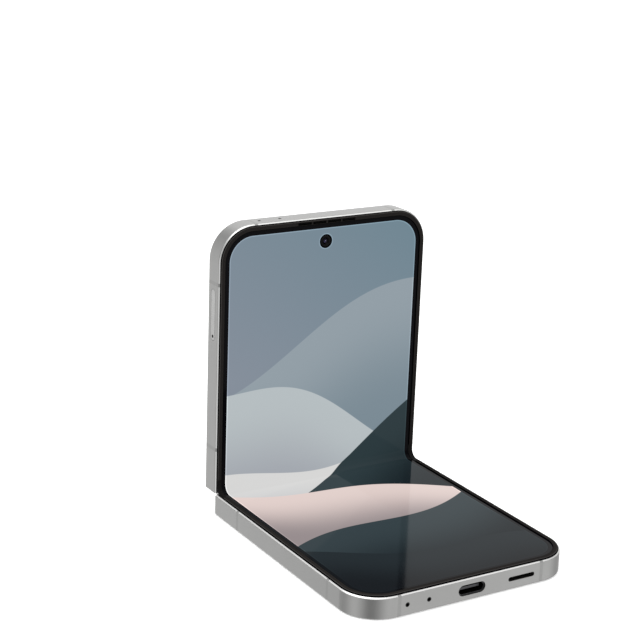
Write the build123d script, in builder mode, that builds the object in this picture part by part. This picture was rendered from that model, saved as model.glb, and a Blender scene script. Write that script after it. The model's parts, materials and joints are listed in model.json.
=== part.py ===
from build123d import *
import math
import os

# A folding phone: two flat halves, a geared hinge and a display that bends over it, half open.

# Overall sizes, in millimetres
width = 71.9
open_length = 165.1
half_thickness = 6.9
screen_gap = 1.1  # between the two rims when shut
seam = 0.3  # slit between the halves when open flat
axis_setback = 1.25  # each fold axis lies this far inside its half
spine_proud = 2.7  # spine stands this far past the halves when shut

# Frames
corner_radius = 11.0
trim_rise = 0.45  # raised black rim over the metal
back_step = 0.15  # rear glass stands this far past the metal
wall = 1.7
hinge_wall = 2.0
top_chamfer = 0.4
back_fillet = 0.35
deck_thickness = 0.5
display_inset = 1.15
rear_cavity_height = 1.55  # room behind the hinge beam for a rear panel
beam_depth = 10.4  # open hinge bay reaches this far from the fold
beam_back = 1.2  # the hinge beam's joint to the deck, past the bay
beam_sink = 0.9  # top of the hinge beam below the display

# Glass
glass_thickness = 0.6
glass_inset = 0.9
glass_gap = 0.05
upper_strip = 3.4  # bare metal between fold and rear glass
lower_strip = 3.9
glass_fold_radius = 1.2
glass_edge_round = 0.22

# Display
display_thickness = 0.7
display_drop = 0.3  # display face below the raised rim
display_edge = 1.2  # inset of the panel's edge
bend_reach = 4.5  # free part of the display, each side of the fold
bend_radius = 2.9

# Raised black rim
trim_inset = 0.4
trim_width = 1.65
trim_outer_round = 0.35
trim_inner_round = 0.12
trim_fold_end = 4.2
trim_lift = 0.02  # rim over the display's edge
edge_strip_thickness = 0.3
over = 20.0  # how far outlines run past the fold before they are cut square
through = 1.0  # how far a cut runs on past what it goes through
strip_inset = 0.1  # edge strips inside the rim's outer face

# Antenna breaks
break_width = 1.1
break_depth = 1.3
near_break = 13.9  # from the fold
far_break = 17.3  # from the far end
end_break = 23.8

# End openings
port_height = 3.2
usb_opening = (9.0, 3.25)
usb_shell = (8.9, 3.15)
usb_wall = 0.3
usb_depth = 7.6
usb_recess = 0.5
usb_tongue = (6.7, 0.7)
tongue_recess = 1.0  # behind the socket's mouth
mic_hole = 0.5
mic_entry = 0.6  # of the holes into the microphones
mic_places = (-21.2, -14.2)
speaker_centre = 16.9
speaker_slot = (9.0, 1.3)
speaker_half = 7.5
speaker_gap = 1.5  # past the battery
speaker_corner = 1.5
speaker_entry = 2.0  # of the slot into the loudspeaker
mesh_overlap = (1.2, 1.0)  # mesh past the speaker's slot
mesh_thickness = 0.2

# Hinge
cover_thickness = 0.5
running_gap = 0.15
cap_thickness = 1.2
gear_teeth = 10
gear_module = 0.18
tooth_height = 0.8  # of the module, above the pitch circle
root_depth = 1.1  # of the module, below the pitch circle
tooth_root = 0.36  # half of a tooth at its root, as a share of the pitch
tooth_tip = 0.115
idler_floor_gap = 0.06
train_tilt = 20.0
shaft_radius = 0.45
idler_pin_radius = 0.3
shaft_fit = 0.03
arm_thickness = 0.52
rail_inner = 2.5
rail_gap = 0.06
rail_sweep = 110.0
rail_start = 10.0
rail_width = 3.1
side_gap = 0.1
rib = 0.6
rib_top = 1.35  # below the axes
arm_reach = 9.9
sync_width = 2.6
bay_gap = 0.3
bay_drop = 4.0  # floor of the sync bays below the fold axis
pin_reach = 5.6
pin_drop = 2.2
pin_radius = 0.45
pin_hold = 0.6
slot_gap = 0.06
paddle_wall = 0.35
crank_step = 3.0
arm_back = 0.4  # where an arm's flat back starts, as a share of its height
cam_length = 2.0
cam_radius = 1.0
spring_length = 4.1
spring_radius = 0.72
spring_wire = 0.13
spring_turns = 6
block_gap = 0.3  # between the cams and the middle block
screw_radius = 0.7
screw_head = 1.2
screw_head_height = 0.3
screw_length = 2.6
screw_place = 8.0
wing_thickness = 0.25
wing_start = 0.6
wing_slot_end = 5.2

# Cameras, on the back of the upper half
camera_from_top = 10.7
camera_places = (12.25, 25.65)
ring_radius = 6.1
ring_opening = 4.55
ring_proud = 1.3
ring_neck = 5.25
lens_thickness = 0.5
flash_place = 0.85
flash_radius = 1.8
ring_bevel = 0.45
ring_mouth = 0.25
lens_recess = 0.3
selfie_from_top = 7.5
selfie_radius = 1.95
selfie_gap = 0.1  # round the frame's hole
selfie_sink = 0.1  # below the display's face
selfie_fit = 0.25  # snout inside the display's hole
selfie_lip = 0.75  # mouth inside the display's hole
selfie_cone = (0.6, 40)  # depth and taper of the mouth

# Cover display, its live area seen from behind
cover_left = 4.6
cover_right = 4.8
cover_top_low = 20.3
cover_top_high = 14.8
cover_bottom = 7.25  # from the fold
cover_step = (31.7, 41.5)
cover_border = 1.0
cover_corner = 3.3

# Earpiece
earpiece_half = 10.2
earpiece_count = 4
earpiece_rib = 0.5
earpiece_inset = 1.42
earpiece_width = 0.4
earpiece_body = (16.0, 2.8, 2.8)
earpiece_corner = 0.4
earpiece_mesh_sink = 0.12
earpiece_mesh_gap = 0.02
cover_thickness_panel = 0.8

# Keys and tray, their places measured from the upper end
key_proud = 0.35
key_round = 0.2
key_room = 0.3  # behind the wall
flange_thickness = 0.4
key_overhang = 0.4  # flange past the cap, each side
switch_room = 0.55  # behind the flange
switch_depth = 0.8
strip_thickness = 0.15
rocker_gap = 0.25  # from the plungers to the flange
press_gap = 0.05
switch_half = (1.5, 1.1)
plunger_radius = 0.6
volume_switch_step = 6.0
strip_end = 2.0  # switch strip past the last switch's middle
rocker_sink = 0.15  # pin behind the flange
rocker_pin = 0.4
bracket_plate = 0.25
bracket_half = 1.2
rocker_boss = 0.8
tray_body = (13.4, 0.8)
tray_gap = 0.1
reader_wall = 0.3
reader_gaps = (0.2, 0.1)  # beside the tray and over it
reader_start = 0.2
reader_end = 0.4
volume_key_place = (42.3, 23.8)
side_key_place = (64.4, 51.0)
key_height = 2.0
key_slot_gap = 0.1
key_travel = 0.25
tray_place = (34.8, 19.2)
tray_height = 2.4
tray_length = 13.45
card = (12.4, 8.8)
card_inset = 1.0
card_floor = 0.1
eject_radius = 0.5

# Inner parts
battery_side_room = 5.2
battery_gap = 1.5
lower_battery_floor = 1.1
upper_battery_floor = 1.7
battery_roof = 0.2  # below the deck
battery_corner = 2.0
end_bay = 18.7  # room past the lower battery for the sub board and loudspeaker
upper_bay = 42.3  # room past the upper battery for the main board
board_side_room = 2.25
board_gap = 1.0  # past the battery
board_corner = 1.0
port_gap = 0.1  # between the sub board and the socket
sub_board_floor = 4.0
sub_board_thickness = 0.7
main_board_floor = 4.2
main_board_thickness = 0.8
main_board_end = 10.2  # from the upper end
flex_half = 7.0
flex_room = 0.3
flex_start = 1.3  # past the free part of the display
flex_past = 1.3  # past the battery
flex_overhang = 2.2
flex_thickness = 0.14
flex_lift = 0.22  # over the hinge beam
fold_flex_flat = 0.8  # half of its run along the hinge cover
fold_flex_gap = 0.5  # over the hinge cover
fold_flex_radius = 0.6
coil_radii = (10.5, 21.0)
coil_thickness = 0.35
mic_size = 3.0
mic_height = 1.4
post_radius = 1.2
lower_posts = (2.0, 4.0)  # in from the sub board's two sides
lower_post_row = 12.0  # past the battery
upper_posts = 24.0
upper_post_row = 5.0  # past the battery
camera_post = (-10.0, 2.0)  # across, and below the cameras' centres
haptic_span = (10.0, 25.0)
haptic_gap = 2.0  # past the battery
haptic_depth = 6.5
haptic_corner = 1.0
inner_room = 0.3  # between the boards' edges and the walls
wide_half = 5.2
ultrawide_half = 4.8
module_corner = 0.8
module_gap = 0.1  # under the deck
ultrawide_mouth = (1.0, 50)  # depth and taper
barrel_radius = 3.45
barrel_gap = 0.06
module_front = 1.5
snout_back = -0.3
snout_radius = 4.4
barrel_span = (-0.15, 3.0)
barrel_floor = 0.4
barrel_lip = 0.5
barrel_mouth = (1.2, 45)  # depth and taper
led_share = 0.7  # of the flash's radius
led_corner = 0.3
selfie_half = 2.5
selfie_floor = 2.6
selfie_roof = 0.3  # under the deck
selfie_corner = 0.5
camera_notch = 7.0  # main board ends this far below the cameras' centres
camera_notch_gap = 1.2  # beside the wide camera
top_notch = (-9.0, 1.0)  # from here on across, and below the cameras' centres
can_height = 2.0
can_wall = 0.2
can_corner = 1.0
can_spans = ((-18.0, 5.0), (7.0, 30.0))
can_gaps = (2.0, 9.0)  # past the battery, and below the cameras' centres

# Worked out from the sizes above
half_length = (open_length - seam) / 2
rim_height = half_thickness - trim_rise
axis_drop = axis_setback - (screen_gap - seam) / 2
axis_height = half_thickness - axis_drop
axis_gap = 2 * axis_setback + seam
spine_radius = spine_proud + axis_setback
cover_inner = spine_radius - cover_thickness
pocket_radius = spine_radius + running_gap
cover_edge = axis_setback * spine_radius / pocket_radius
fold_y = half_length / 2
display_top = half_thickness - display_drop
display_bottom = display_top - display_thickness
deck_bottom = display_bottom - deck_thickness
beam_top = display_bottom - beam_sink
bay_floor = axis_height - bay_drop
flex_floor = beam_top + flex_lift
inner_side = width / 2 - wall
inner_end = half_length - wall
hinge_side = width / 2 - hinge_wall
spine_half = hinge_side - running_gap
rest_turn = math.radians(45)  # each axis has turned half of the right angle
rest_step = axis_gap * math.cos(rest_turn)
fold_shift = rest_step - axis_setback - axis_drop
bay_end = beam_depth + beam_back
module_back = deck_bottom - module_gap
camera_y = half_length - camera_from_top
speaker_edge = speaker_centre - speaker_half
sub_board_span = (board_gap - speaker_edge, inner_side - board_side_room)
lower_battery_end = inner_end - end_bay
upper_battery_end = half_length - upper_bay
usb_back = half_length - usb_recess - usb_depth
key_flange = (inner_side - key_room - flange_thickness, inner_side - key_room)
switch_face = key_flange[0] - switch_room
volume_key_span = [half_length - place for place in volume_key_place]
side_key_span = [half_length - place for place in side_key_place]
tray_span = [half_length - place for place in tray_place]
tray_inner = width / 2 - tray_length
selfie_y = half_length - selfie_from_top

# The lower half lies on its back with the fold along its +Y end, the upper half stands on it.
# In each half's own plane X runs across, Y away from the fold and Z from the back to the screen.
lower = Plane(origin=(0, fold_y, 0), x_dir=(-1, 0, 0), z_dir=(0, 0, 1))
upper = Plane(
    origin=(0, fold_y + fold_shift + half_thickness, half_thickness + fold_shift),
    x_dir=(1, 0, 0),
    z_dir=(0, -1, 0),
)
# The spine's plane lies midway between the axes, Y towards the upper half, Z towards the display.
spine = Plane(
    origin=(0, fold_y - axis_setback + rest_step / 2, axis_height + rest_step / 2),
    x_dir=(1, 0, 0),
    z_dir=(0, -math.sin(rest_turn), math.cos(rest_turn)),
)

# Hinge pieces stand in rows along the spine, mirrored left and right, from the end cap inwards
outer_rib = (spine_half - cap_thickness - rib, spine_half - cap_thickness)
upper_rail = (outer_rib[0] - side_gap - rail_width, outer_rib[0] - side_gap)
middle_rib = (upper_rail[0] - side_gap - rib, upper_rail[0] - side_gap)
lower_rail = (middle_rib[0] - side_gap - rail_width, middle_rib[0] - side_gap)
inner_rib = (lower_rail[0] - side_gap - rib, lower_rail[0] - side_gap)
gear_row = (inner_rib[0] - side_gap - sync_width, inner_rib[0] - side_gap)
cam_row = (gear_row[0] - side_gap - cam_length, gear_row[0] - side_gap)
spring_row = (cam_row[0] - spring_length, cam_row[0])
end_rib = (spring_row[0] - rib, spring_row[0])

# Gear train, outwards and down from the spine's middle and its axis line
pitch_radius = gear_teeth * gear_module / 2
tip_radius = pitch_radius + tooth_height * gear_module
root_radius = pitch_radius - root_depth * gear_module
idler_out = pitch_radius
idler_down = cover_inner - tip_radius - idler_floor_gap
tilt = math.radians(train_tilt)
sync_out = idler_out + 2 * pitch_radius * math.cos(tilt)
sync_down = idler_down - 2 * pitch_radius * math.sin(tilt)


def turned(x, y, degrees):
    """The point turned about the origin."""
    angle = math.radians(degrees)
    return (
        x * math.cos(angle) - y * math.sin(angle),
        x * math.sin(angle) + y * math.cos(angle),
    )


def pin_from_sync(degrees):
    """Where a half's drive pin stands from its sync shaft, when that half has turned so far."""
    x, y = turned(pin_reach, -pin_drop, degrees)
    return x - (sync_out - axis_gap / 2), y + sync_down


def direction(point):
    return math.degrees(math.atan2(point[1], point[0]))


# The sync arms turn a little less than the halves, so their slots are cut to the pins' path
sync_ratio = (direction(pin_from_sync(90)) - direction(pin_from_sync(0))) / 90
slot_points = [turned(*pin_from_sync(step), -sync_ratio * step) for step in (0, 45, 90)]


def side_plane(half, x=0.0):
    """A half's side view at x: its X away from the fold, its Y towards the screen."""
    return Plane(origin=half.from_local_coords((x, 0, 0)), x_dir=half.y_dir, z_dir=half.x_dir)


def spine_plane(x=0.0):
    """The spine's side view at x: its X towards the upper half, its Y towards the display."""
    return Plane(origin=spine.from_local_coords((x, 0, 0)), x_dir=spine.y_dir, z_dir=spine.x_dir)


def train_plane(side, out, down, degrees, x):
    """Side view about a shaft of the train, on the lower (-1) or upper (1) half's side."""
    angle = math.radians(degrees)
    return Plane(
        origin=spine.from_local_coords((x, side * out, -down)),
        x_dir=spine.y_dir * side * math.cos(angle) + spine.z_dir * math.sin(angle),
        z_dir=(side, 0, 0),
    )


def half_plan(half, height, inset=0.0, start=0.0, fold_radius=0.0):
    """A half's outline at a height: round at the far corners, from start to the far end."""
    length = half_length - inset - start
    with BuildSketch(half.offset(height)) as plan:
        with Locations((0, start + length / 2)):
            Rectangle(width - 2 * inset, length)
        fillet(plan.vertices().group_by(Axis.Y)[-1], corner_radius - inset)
        if fold_radius:
            fillet(plan.vertices().group_by(Axis.Y)[0], fold_radius)
    return plan.sketch


def block(half, xs, ys, zs, corner=0.0, mode=Mode.ADD):
    """A block between limits in a half's own plane, with its upright corners rounded."""
    with BuildSketch(half.offset(zs[0])) as base:
        with Locations(((xs[0] + xs[1]) / 2, (ys[0] + ys[1]) / 2)):
            Rectangle(xs[1] - xs[0], ys[1] - ys[0])
        if corner:
            fillet(base.vertices(), corner)
    extrude(base.sketch, amount=zs[1] - zs[0], mode=mode)


def disc(half, x, y, zs, radius, mode=Mode.ADD):
    """A round post between two heights in a half's own plane."""
    with BuildSketch(half.offset(zs[0])) as base:
        with Locations((x, y)):
            Circle(radius)
    extrude(base.sketch, amount=zs[1] - zs[0], mode=mode)


def board(half, xs, ys, zs, corner=0.0):
    """A block kept clear of the half's walls and round corners."""
    block(half, xs, ys, zs, corner)
    room = half_plan(half, zs[0], wall + inner_room, -over)
    extrude(room, amount=zs[1] - zs[0], mode=Mode.INTERSECT)


def across(profile, span, mode=Mode.ADD):
    """Extrudes a side profile over a row of the spine, on the left and on the right."""
    middle = (span[0] + span[1]) / 2
    for x in (-middle, middle):
        extrude(profile(x), amount=(span[1] - span[0]) / 2, both=True, mode=mode)


def end_slot(half, x, height, length, thickness, depth, mode=Mode.SUBTRACT, start=0.0):
    """A slot with round ends in a half's far end, running inwards from start to depth."""
    face = Plane(
        origin=half.from_local_coords((x, half_length - start, height)),
        x_dir=half.x_dir,
        z_dir=half.y_dir * -1,
    )
    with BuildSketch(face) as base:
        SlotOverall(length, thickness)
    extrude(base.sketch, amount=depth - start, mode=mode)


def end_hole(half, x, height, radius, depth):
    """A round hole in a half's far end."""
    face = Plane(
        origin=half.from_local_coords((x, half_length, height)),
        x_dir=half.x_dir,
        z_dir=half.y_dir * -1,
    )
    with BuildSketch(face) as base:
        Circle(radius)
    extrude(base.sketch, amount=depth, mode=Mode.SUBTRACT)


def side_slot(half, side, span, height, thickness, depth, mode=Mode.SUBTRACT, start=0.0):
    """A slot with round ends in a half's side wall, running inwards from start to depth."""
    middle = (span[0] + span[1]) / 2
    face = Plane(
        origin=half.from_local_coords((side * (width / 2 - start), middle, height)),
        x_dir=half.y_dir,
        z_dir=half.x_dir * -side,
    )
    with BuildSketch(face) as base:
        SlotOverall(span[1] - span[0], thickness)
    extrude(base.sketch, amount=depth - start, mode=mode)


def gear_teeth_profile(plane, first_tooth):
    """A small spur gear, one tooth pointing at the angle first_tooth."""
    pitch = 360 / gear_teeth
    root_half = tooth_root * pitch
    tip_half = tooth_tip * pitch
    points = []
    for tooth in range(gear_teeth):
        middle = first_tooth + tooth * pitch
        for radius, offset in (
            (root_radius, -root_half),
            (tip_radius, -tip_half),
            (tip_radius, tip_half),
            (root_radius, root_half),
        ):
            points.append(turned(radius, 0, middle + offset))
    with BuildSketch(plane) as teeth:
        with BuildLine():
            Polyline(*points, close=True)
        make_face()
    return teeth.sketch


def solid_shell(half):
    """A half's metal body before its openings."""
    with BuildPart() as shell:
        extrude(half_plan(half, back_step, start=-over), amount=rim_height - back_step)
        outwards = Axis(half.origin, half.z_dir)
        chamfer(shell.faces().sort_by(outwards)[-1].outer_wire().edges(), top_chamfer)
        fillet(shell.faces().sort_by(outwards)[0].outer_wire().edges(), back_fillet)
        block(
            half, (-width, width), (-2 * over, 0), (-through, half_thickness + through),
            mode=Mode.SUBTRACT,
        )
    return shell.part


def half_frame(half, strip):
    """Opens a half's body for its display, glass, hinge bay and inner parts."""
    add(solid_shell(half))
    extrude(
        half_plan(half, display_bottom, display_inset, -over),
        amount=half_thickness,
        mode=Mode.SUBTRACT,
    )
    extrude(
        half_plan(half, 0, glass_inset - glass_gap, strip - glass_gap, glass_fold_radius),
        amount=glass_thickness,
        mode=Mode.SUBTRACT,
    )
    extrude(
        half_plan(half, glass_thickness, wall, strip + wall),
        amount=rear_cavity_height - glass_thickness,
        mode=Mode.SUBTRACT,
    )
    extrude(
        half_plan(half, glass_thickness, wall, bay_end),
        amount=deck_bottom - glass_thickness,
        mode=Mode.SUBTRACT,
    )
    with BuildSketch(side_plane(half)) as bay:
        with Locations((axis_setback, axis_height)):
            Circle(pocket_radius)
        with Locations((0, axis_height)):
            Rectangle(2 * axis_setback, 2 * pocket_radius)
        with Locations((0, half_thickness)):
            Rectangle(2 * beam_depth, 2 * (half_thickness - beam_top))
    extrude(bay.sketch, amount=hinge_side, both=True, mode=Mode.SUBTRACT)
    # bays for the sync arms, under the display
    bay_span = (gear_row[0] - bay_gap, gear_row[1] + bay_gap)
    for side in (-1, 1):
        xs = sorted((side * bay_span[0], side * bay_span[1]))
        block(half, xs, (0, bay_end), (bay_floor, deck_bottom), mode=Mode.SUBTRACT)
    side = flex_half + flex_room
    ys = (beam_depth - through, bay_end + through)
    block(half, (-side, side), ys, (beam_top, deck_bottom), mode=Mode.SUBTRACT)
    drive_pins(half, mode=Mode.SUBTRACT)
    screws(half, mode=Mode.SUBTRACT)


def drive_pins(half, mode=Mode.ADD):
    """Pins across the sync bays, which the arms' slots slide over."""

    def section(x):
        with BuildSketch(side_plane(half, x)) as pin:
            with Locations((axis_setback + pin_reach, axis_height - pin_drop)):
                Circle(pin_radius)
        return pin.sketch

    across(section, (gear_row[0] - bay_gap - pin_hold, gear_row[1] + bay_gap + pin_hold), mode)


def screws(half, mode=Mode.ADD):
    """Countersunk screws that hold the hinge arms on the beam."""
    span = lower_rail if half is lower else upper_rail
    middle = (span[0] + span[1]) / 2
    top = beam_top + arm_thickness
    for x in (-middle, middle):
        disc(half, x, screw_place, (beam_top - screw_length, top), screw_radius, mode)
        disc(half, x, screw_place, (top - screw_head_height, top), screw_head, mode)


def break_cuts(half, mode):
    """The strips where the metal wall is parted for the antennas."""
    side = width / 2
    height = (-through, half_thickness + through)
    limits = []
    for y in (near_break, half_length - far_break):
        ys = (y - break_width / 2, y + break_width / 2)
        limits.append(((-side - through, -side + break_depth), ys))
        limits.append(((side - break_depth, side + through), ys))
    for x in (-end_break, end_break):
        ends = (half_length - break_depth, half_length + through)
        limits.append(((x - break_width / 2, x + break_width / 2), ends))
    with BuildSketch(half.offset(height[0])) as strips:
        for xs, ys in limits:
            with Locations(((xs[0] + xs[1]) / 2, (ys[0] + ys[1]) / 2)):
                Rectangle(xs[1] - xs[0], ys[1] - ys[0])
    extrude(strips.sketch, amount=height[1] - height[0], mode=mode)


def raised_trim(half):
    """The raised black rim round a half's display, open at the fold."""
    with BuildPart() as rim:
        extrude(half_plan(half, rim_height, trim_inset, -over), amount=half_thickness - rim_height)
        extrude(
            half_plan(half, rim_height, display_inset, trim_width - over),
            amount=display_top + trim_lift - rim_height,
            mode=Mode.SUBTRACT,
        )
        extrude(
            half_plan(half, display_top, trim_inset + trim_width, trim_width - over),
            amount=half_thickness,
            mode=Mode.SUBTRACT,
        )
        outwards = Axis(half.origin, half.z_dir)
        top = rim.faces().sort_by(outwards)[-1]
        fillet(top.outer_wire().edges(), trim_outer_round)
        top = rim.faces().sort_by(outwards)[-1]
        fillet(top.inner_wires()[0].edges(), trim_inner_round)
        block(
            half, (-width, width), (-2 * over, trim_fold_end), (0, 2 * half_thickness),
            mode=Mode.SUBTRACT,
        )
    return rim.part


def rear_glass(half, strip):
    """A half's rear glass, with a softened outer edge."""
    with BuildPart() as glass:
        extrude(half_plan(half, 0, glass_inset, strip, glass_fold_radius), amount=glass_thickness)
        back = glass.faces().sort_by(Axis(half.origin, half.z_dir))[0]
        fillet(back.outer_wire().edges(), glass_edge_round)
    return glass.part


def microphones(half, side, roof):
    """Two microphones under a board, behind the holes in a half's far end."""
    for place in mic_places:
        xs = (side * place - mic_size / 2, side * place + mic_size / 2)
        block(half, xs, (inner_end - mic_size, inner_end), (roof - mic_height, roof))
        end_hole(half, side * place, port_height, mic_hole, wall + mic_entry)


def battery(half, end, floor):
    side = inner_side - battery_side_room
    heights = (floor, deck_bottom - battery_roof)
    block(half, (-side, side), (bay_end + battery_gap, end), heights, battery_corner)


def flex_tail(half, end, board_top):
    """The flat cable from the hinge bay over the battery to a half's board."""
    start = bend_reach + flex_start
    ys = (start, end + flex_past + flex_overhang)
    block(half, (-flex_half, flex_half), ys, (flex_floor, flex_floor + flex_thickness))
    ys = (end + flex_past, end + flex_past + flex_overhang)
    block(half, (-flex_half, flex_half), ys, (board_top, flex_floor))


def wing_plate(half):
    """A thin steel plate that carries the display over the hinge bay."""
    side = hinge_side - running_gap
    block(
        half, (-side, side), (wing_start, beam_depth - running_gap),
        (display_bottom - wing_thickness, display_bottom),
    )
    window = (gear_row[0] - bay_gap, gear_row[1] + bay_gap)
    for edge in (-1, 1):
        xs = sorted((edge * window[0], edge * window[1]))
        block(half, xs, (0, wing_slot_end), (0, half_thickness), mode=Mode.SUBTRACT)


def hinge_arms(half, span):
    """Arc rails about a half's fold axis, on plates that are screwed to its hinge beam."""

    def section(x):
        centre = (axis_setback, axis_height)
        plate_start = axis_setback + rail_inner * math.cos(math.radians(rail_start))
        first = -rail_start - rail_sweep
        with BuildSketch(side_plane(half, x)) as arm:
            with BuildLine():
                outer = CenterArc(centre, cover_inner - rail_gap, first, rail_sweep)
                inner = CenterArc(centre, rail_inner, first, rail_sweep)
                Line(outer @ 0, inner @ 0)
                Line(outer @ 1, inner @ 1)
            make_face()
            with Locations(((plate_start + arm_reach) / 2, beam_top + arm_thickness / 2)):
                Rectangle(arm_reach - plate_start, arm_thickness)
        return arm.sketch

    across(section, span)
    screws(half, mode=Mode.SUBTRACT)


def meshing_tooth(tooth, line):
    """Angle of a tooth on the gear that meshes along a line with a gear whose tooth is given."""
    return 2 * line + 180 - tooth + 180 / gear_teeth


lower_idler_tooth = 0.0
upper_idler_tooth = meshing_tooth(lower_idler_tooth, 0)
lower_sync_tooth = 180 - meshing_tooth(lower_idler_tooth, 180 - train_tilt)
upper_sync_tooth = meshing_tooth(upper_idler_tooth, train_tilt)
sync_rest = 45 * sync_ratio


def sync_arms(side, tooth):
    """Geared arms on the sync shafts, with curved slots that ride on a half's drive pins."""
    top = beam_top + arm_thickness - (axis_height - sync_down)
    under = beam_top - (axis_height - sync_down)
    pad = pin_radius + slot_gap + paddle_wall
    near = slot_points[0]

    def at(x):
        return train_plane(side, sync_out, sync_down, sync_rest, x)

    def outline(x):
        with BuildSketch(at(x)) as arm:
            with BuildLine():
                Polyline(
                    (0, 0), (arm_back * top, top), (crank_step, top), (near[0], near[1] + pad),
                    (near[0], near[1] - pad), (crank_step, under), (pitch_radius, under),
                    (root_radius, 0), close=True,
                )
            make_face()
            with BuildLine() as path:
                ThreePointArc(*slot_points)
            SlotArc(path.edges()[0], height=2 * pad)
        return arm.sketch

    def opening(x):
        with BuildSketch(at(x)) as cut:
            Circle(shaft_radius + shaft_fit)
            with BuildLine() as path:
                ThreePointArc(*slot_points)
            SlotArc(path.edges()[0], height=2 * (pin_radius + slot_gap))
        return cut.sketch

    across(lambda x: gear_teeth_profile(at(x), tooth - sync_rest), gear_row)
    across(outline, gear_row)
    across(opening, gear_row, Mode.SUBTRACT)


def idler_gears(side, tooth):
    """One idler in each hinge module."""
    across(
        lambda x: gear_teeth_profile(train_plane(1, side * idler_out, idler_down, 0, x), tooth),
        gear_row,
    )
    across(
        lambda x: round_section(1, side * idler_out, idler_down, idler_pin_radius + shaft_fit, x),
        gear_row,
        Mode.SUBTRACT,
    )


def round_section(side, out, down, radius, x):
    """A circle about one of the train's shafts."""
    with BuildSketch(train_plane(side, out, down, 0, x)) as disc_face:
        Circle(radius)
    return disc_face.sketch


def spine_section(radius, top, x=0.0):
    """The spine's rounded section up to a level below the axes."""
    with BuildSketch(spine_plane(x)) as section:
        with Locations((-axis_gap / 2, 0), (axis_gap / 2, 0)):
            Circle(radius)
        with Locations((0, -radius / 2)):
            Rectangle(axis_gap, radius)
        with Locations((0, radius - top)):
            Rectangle(2 * (axis_gap + radius), 2 * radius, mode=Mode.SUBTRACT)
    return section.sketch


def bend_section(x, height, depth, reach):
    """A layer of the display's bend: straight on both halves with a round corner between."""
    corner = -(fold_shift + half_thickness - height)
    under = -(fold_shift + half_thickness - height + depth)
    end = half_thickness + fold_shift + reach
    radius = bend_radius + display_top - height
    with BuildSketch(side_plane(lower, x)) as bend:
        with BuildLine():
            face = FilletPolyline((reach, height), (corner, height), (corner, end), radius=radius)
            back = FilletPolyline(
                (reach, height - depth), (under, height - depth), (under, end),
                radius=radius + depth,
            )
            Line(face @ 0, back @ 0)
            Line(face @ 1, back @ 1)
        make_face()
    return bend.sketch


os.makedirs("parts", exist_ok=True)

# Lower half

with BuildPart() as lower_body:
    half_frame(lower, lower_strip)
    end_slot(lower, 0, port_height, *usb_opening, wall + through)
    end_slot(lower, -speaker_centre, port_height, *speaker_slot, wall + through)
    for place in mic_places:
        end_hole(lower, -place, port_height, mic_hole, wall + through)
    board_top = sub_board_floor + sub_board_thickness
    post_y = lower_battery_end + lower_post_row
    for x in (sub_board_span[0] + lower_posts[0], sub_board_span[1] - lower_posts[1]):
        disc(lower, x, post_y, (board_top, deck_bottom), post_radius)

with BuildPart() as lower_frame:
    add(lower_body.part)
    break_cuts(lower, Mode.SUBTRACT)
lower_frame.part.label = "lower_frame"
export_step(lower_frame.part, "parts/lower_frame.step")

with BuildPart() as lower_antenna_breaks:
    add(lower_body.part)
    break_cuts(lower, Mode.INTERSECT)
lower_antenna_breaks.part.label = "lower_antenna_breaks"
export_step(lower_antenna_breaks.part, "parts/lower_antenna_breaks.step")

with BuildPart() as lower_trim:
    add(raised_trim(lower))
lower_trim.part.label = "lower_trim"
export_step(lower_trim.part, "parts/lower_trim.step")

with BuildPart() as lower_rear_glass:
    add(rear_glass(lower, lower_strip))
lower_rear_glass.part.label = "lower_rear_glass"
export_step(lower_rear_glass.part, "parts/lower_rear_glass.step")

with BuildPart() as main_display_lower:
    extrude(half_plan(lower, display_bottom, display_edge, bend_reach), amount=display_thickness)
main_display_lower.part.label = "main_display_lower"
export_step(main_display_lower.part, "parts/main_display_lower.step")

with BuildPart() as lower_wing_plate:
    wing_plate(lower)
lower_wing_plate.part.label = "lower_wing_plate"
export_step(lower_wing_plate.part, "parts/lower_wing_plate.step")

with BuildPart() as lower_hinge_arms:
    hinge_arms(lower, lower_rail)
lower_hinge_arms.part.label = "lower_hinge_arms"
export_step(lower_hinge_arms.part, "parts/lower_hinge_arms.step")

with BuildPart() as lower_hinge_fasteners:
    screws(lower)
    drive_pins(lower)
lower_hinge_fasteners.part.label = "lower_hinge_fasteners"
export_step(lower_hinge_fasteners.part, "parts/lower_hinge_fasteners.step")

with BuildPart() as lower_battery:
    battery(lower, lower_battery_end, lower_battery_floor)
lower_battery.part.label = "lower_battery"
export_step(lower_battery.part, "parts/lower_battery.step")

with BuildPart() as charging_coil:
    middle = (bay_end + lower_battery_end) / 2
    heights = (glass_thickness, glass_thickness + coil_thickness)
    disc(lower, 0, middle, heights, coil_radii[1])
    disc(lower, 0, middle, heights, coil_radii[0], mode=Mode.SUBTRACT)
charging_coil.part.label = "charging_coil"
export_step(charging_coil.part, "parts/charging_coil.step")

with BuildPart() as usb_port:
    end_slot(lower, 0, port_height, *usb_shell, usb_recess + usb_depth, Mode.ADD, usb_recess)
    bore = (usb_shell[0] - 2 * usb_wall, usb_shell[1] - 2 * usb_wall)
    end_slot(
        lower, 0, port_height, *bore, usb_recess + usb_depth - 2 * usb_wall, Mode.SUBTRACT,
        usb_recess,
    )
    tongue = (port_height - usb_tongue[1] / 2, port_height + usb_tongue[1] / 2)
    ys = (usb_back + usb_wall, half_length - usb_recess - tongue_recess)
    block(lower, (-usb_tongue[0] / 2, usb_tongue[0] / 2), ys, tongue)
usb_port.part.label = "usb_port"
export_step(usb_port.part, "parts/usb_port.step")

with BuildPart() as sub_board:
    heights = (sub_board_floor, sub_board_floor + sub_board_thickness)
    board(lower, sub_board_span, (lower_battery_end + board_gap, half_length), heights, board_corner)
    side = usb_shell[0] / 2 + port_gap
    block(lower, (-side, side), (usb_back, half_length), heights, mode=Mode.SUBTRACT)
sub_board.part.label = "sub_board"
export_step(sub_board.part, "parts/sub_board.step")

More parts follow.
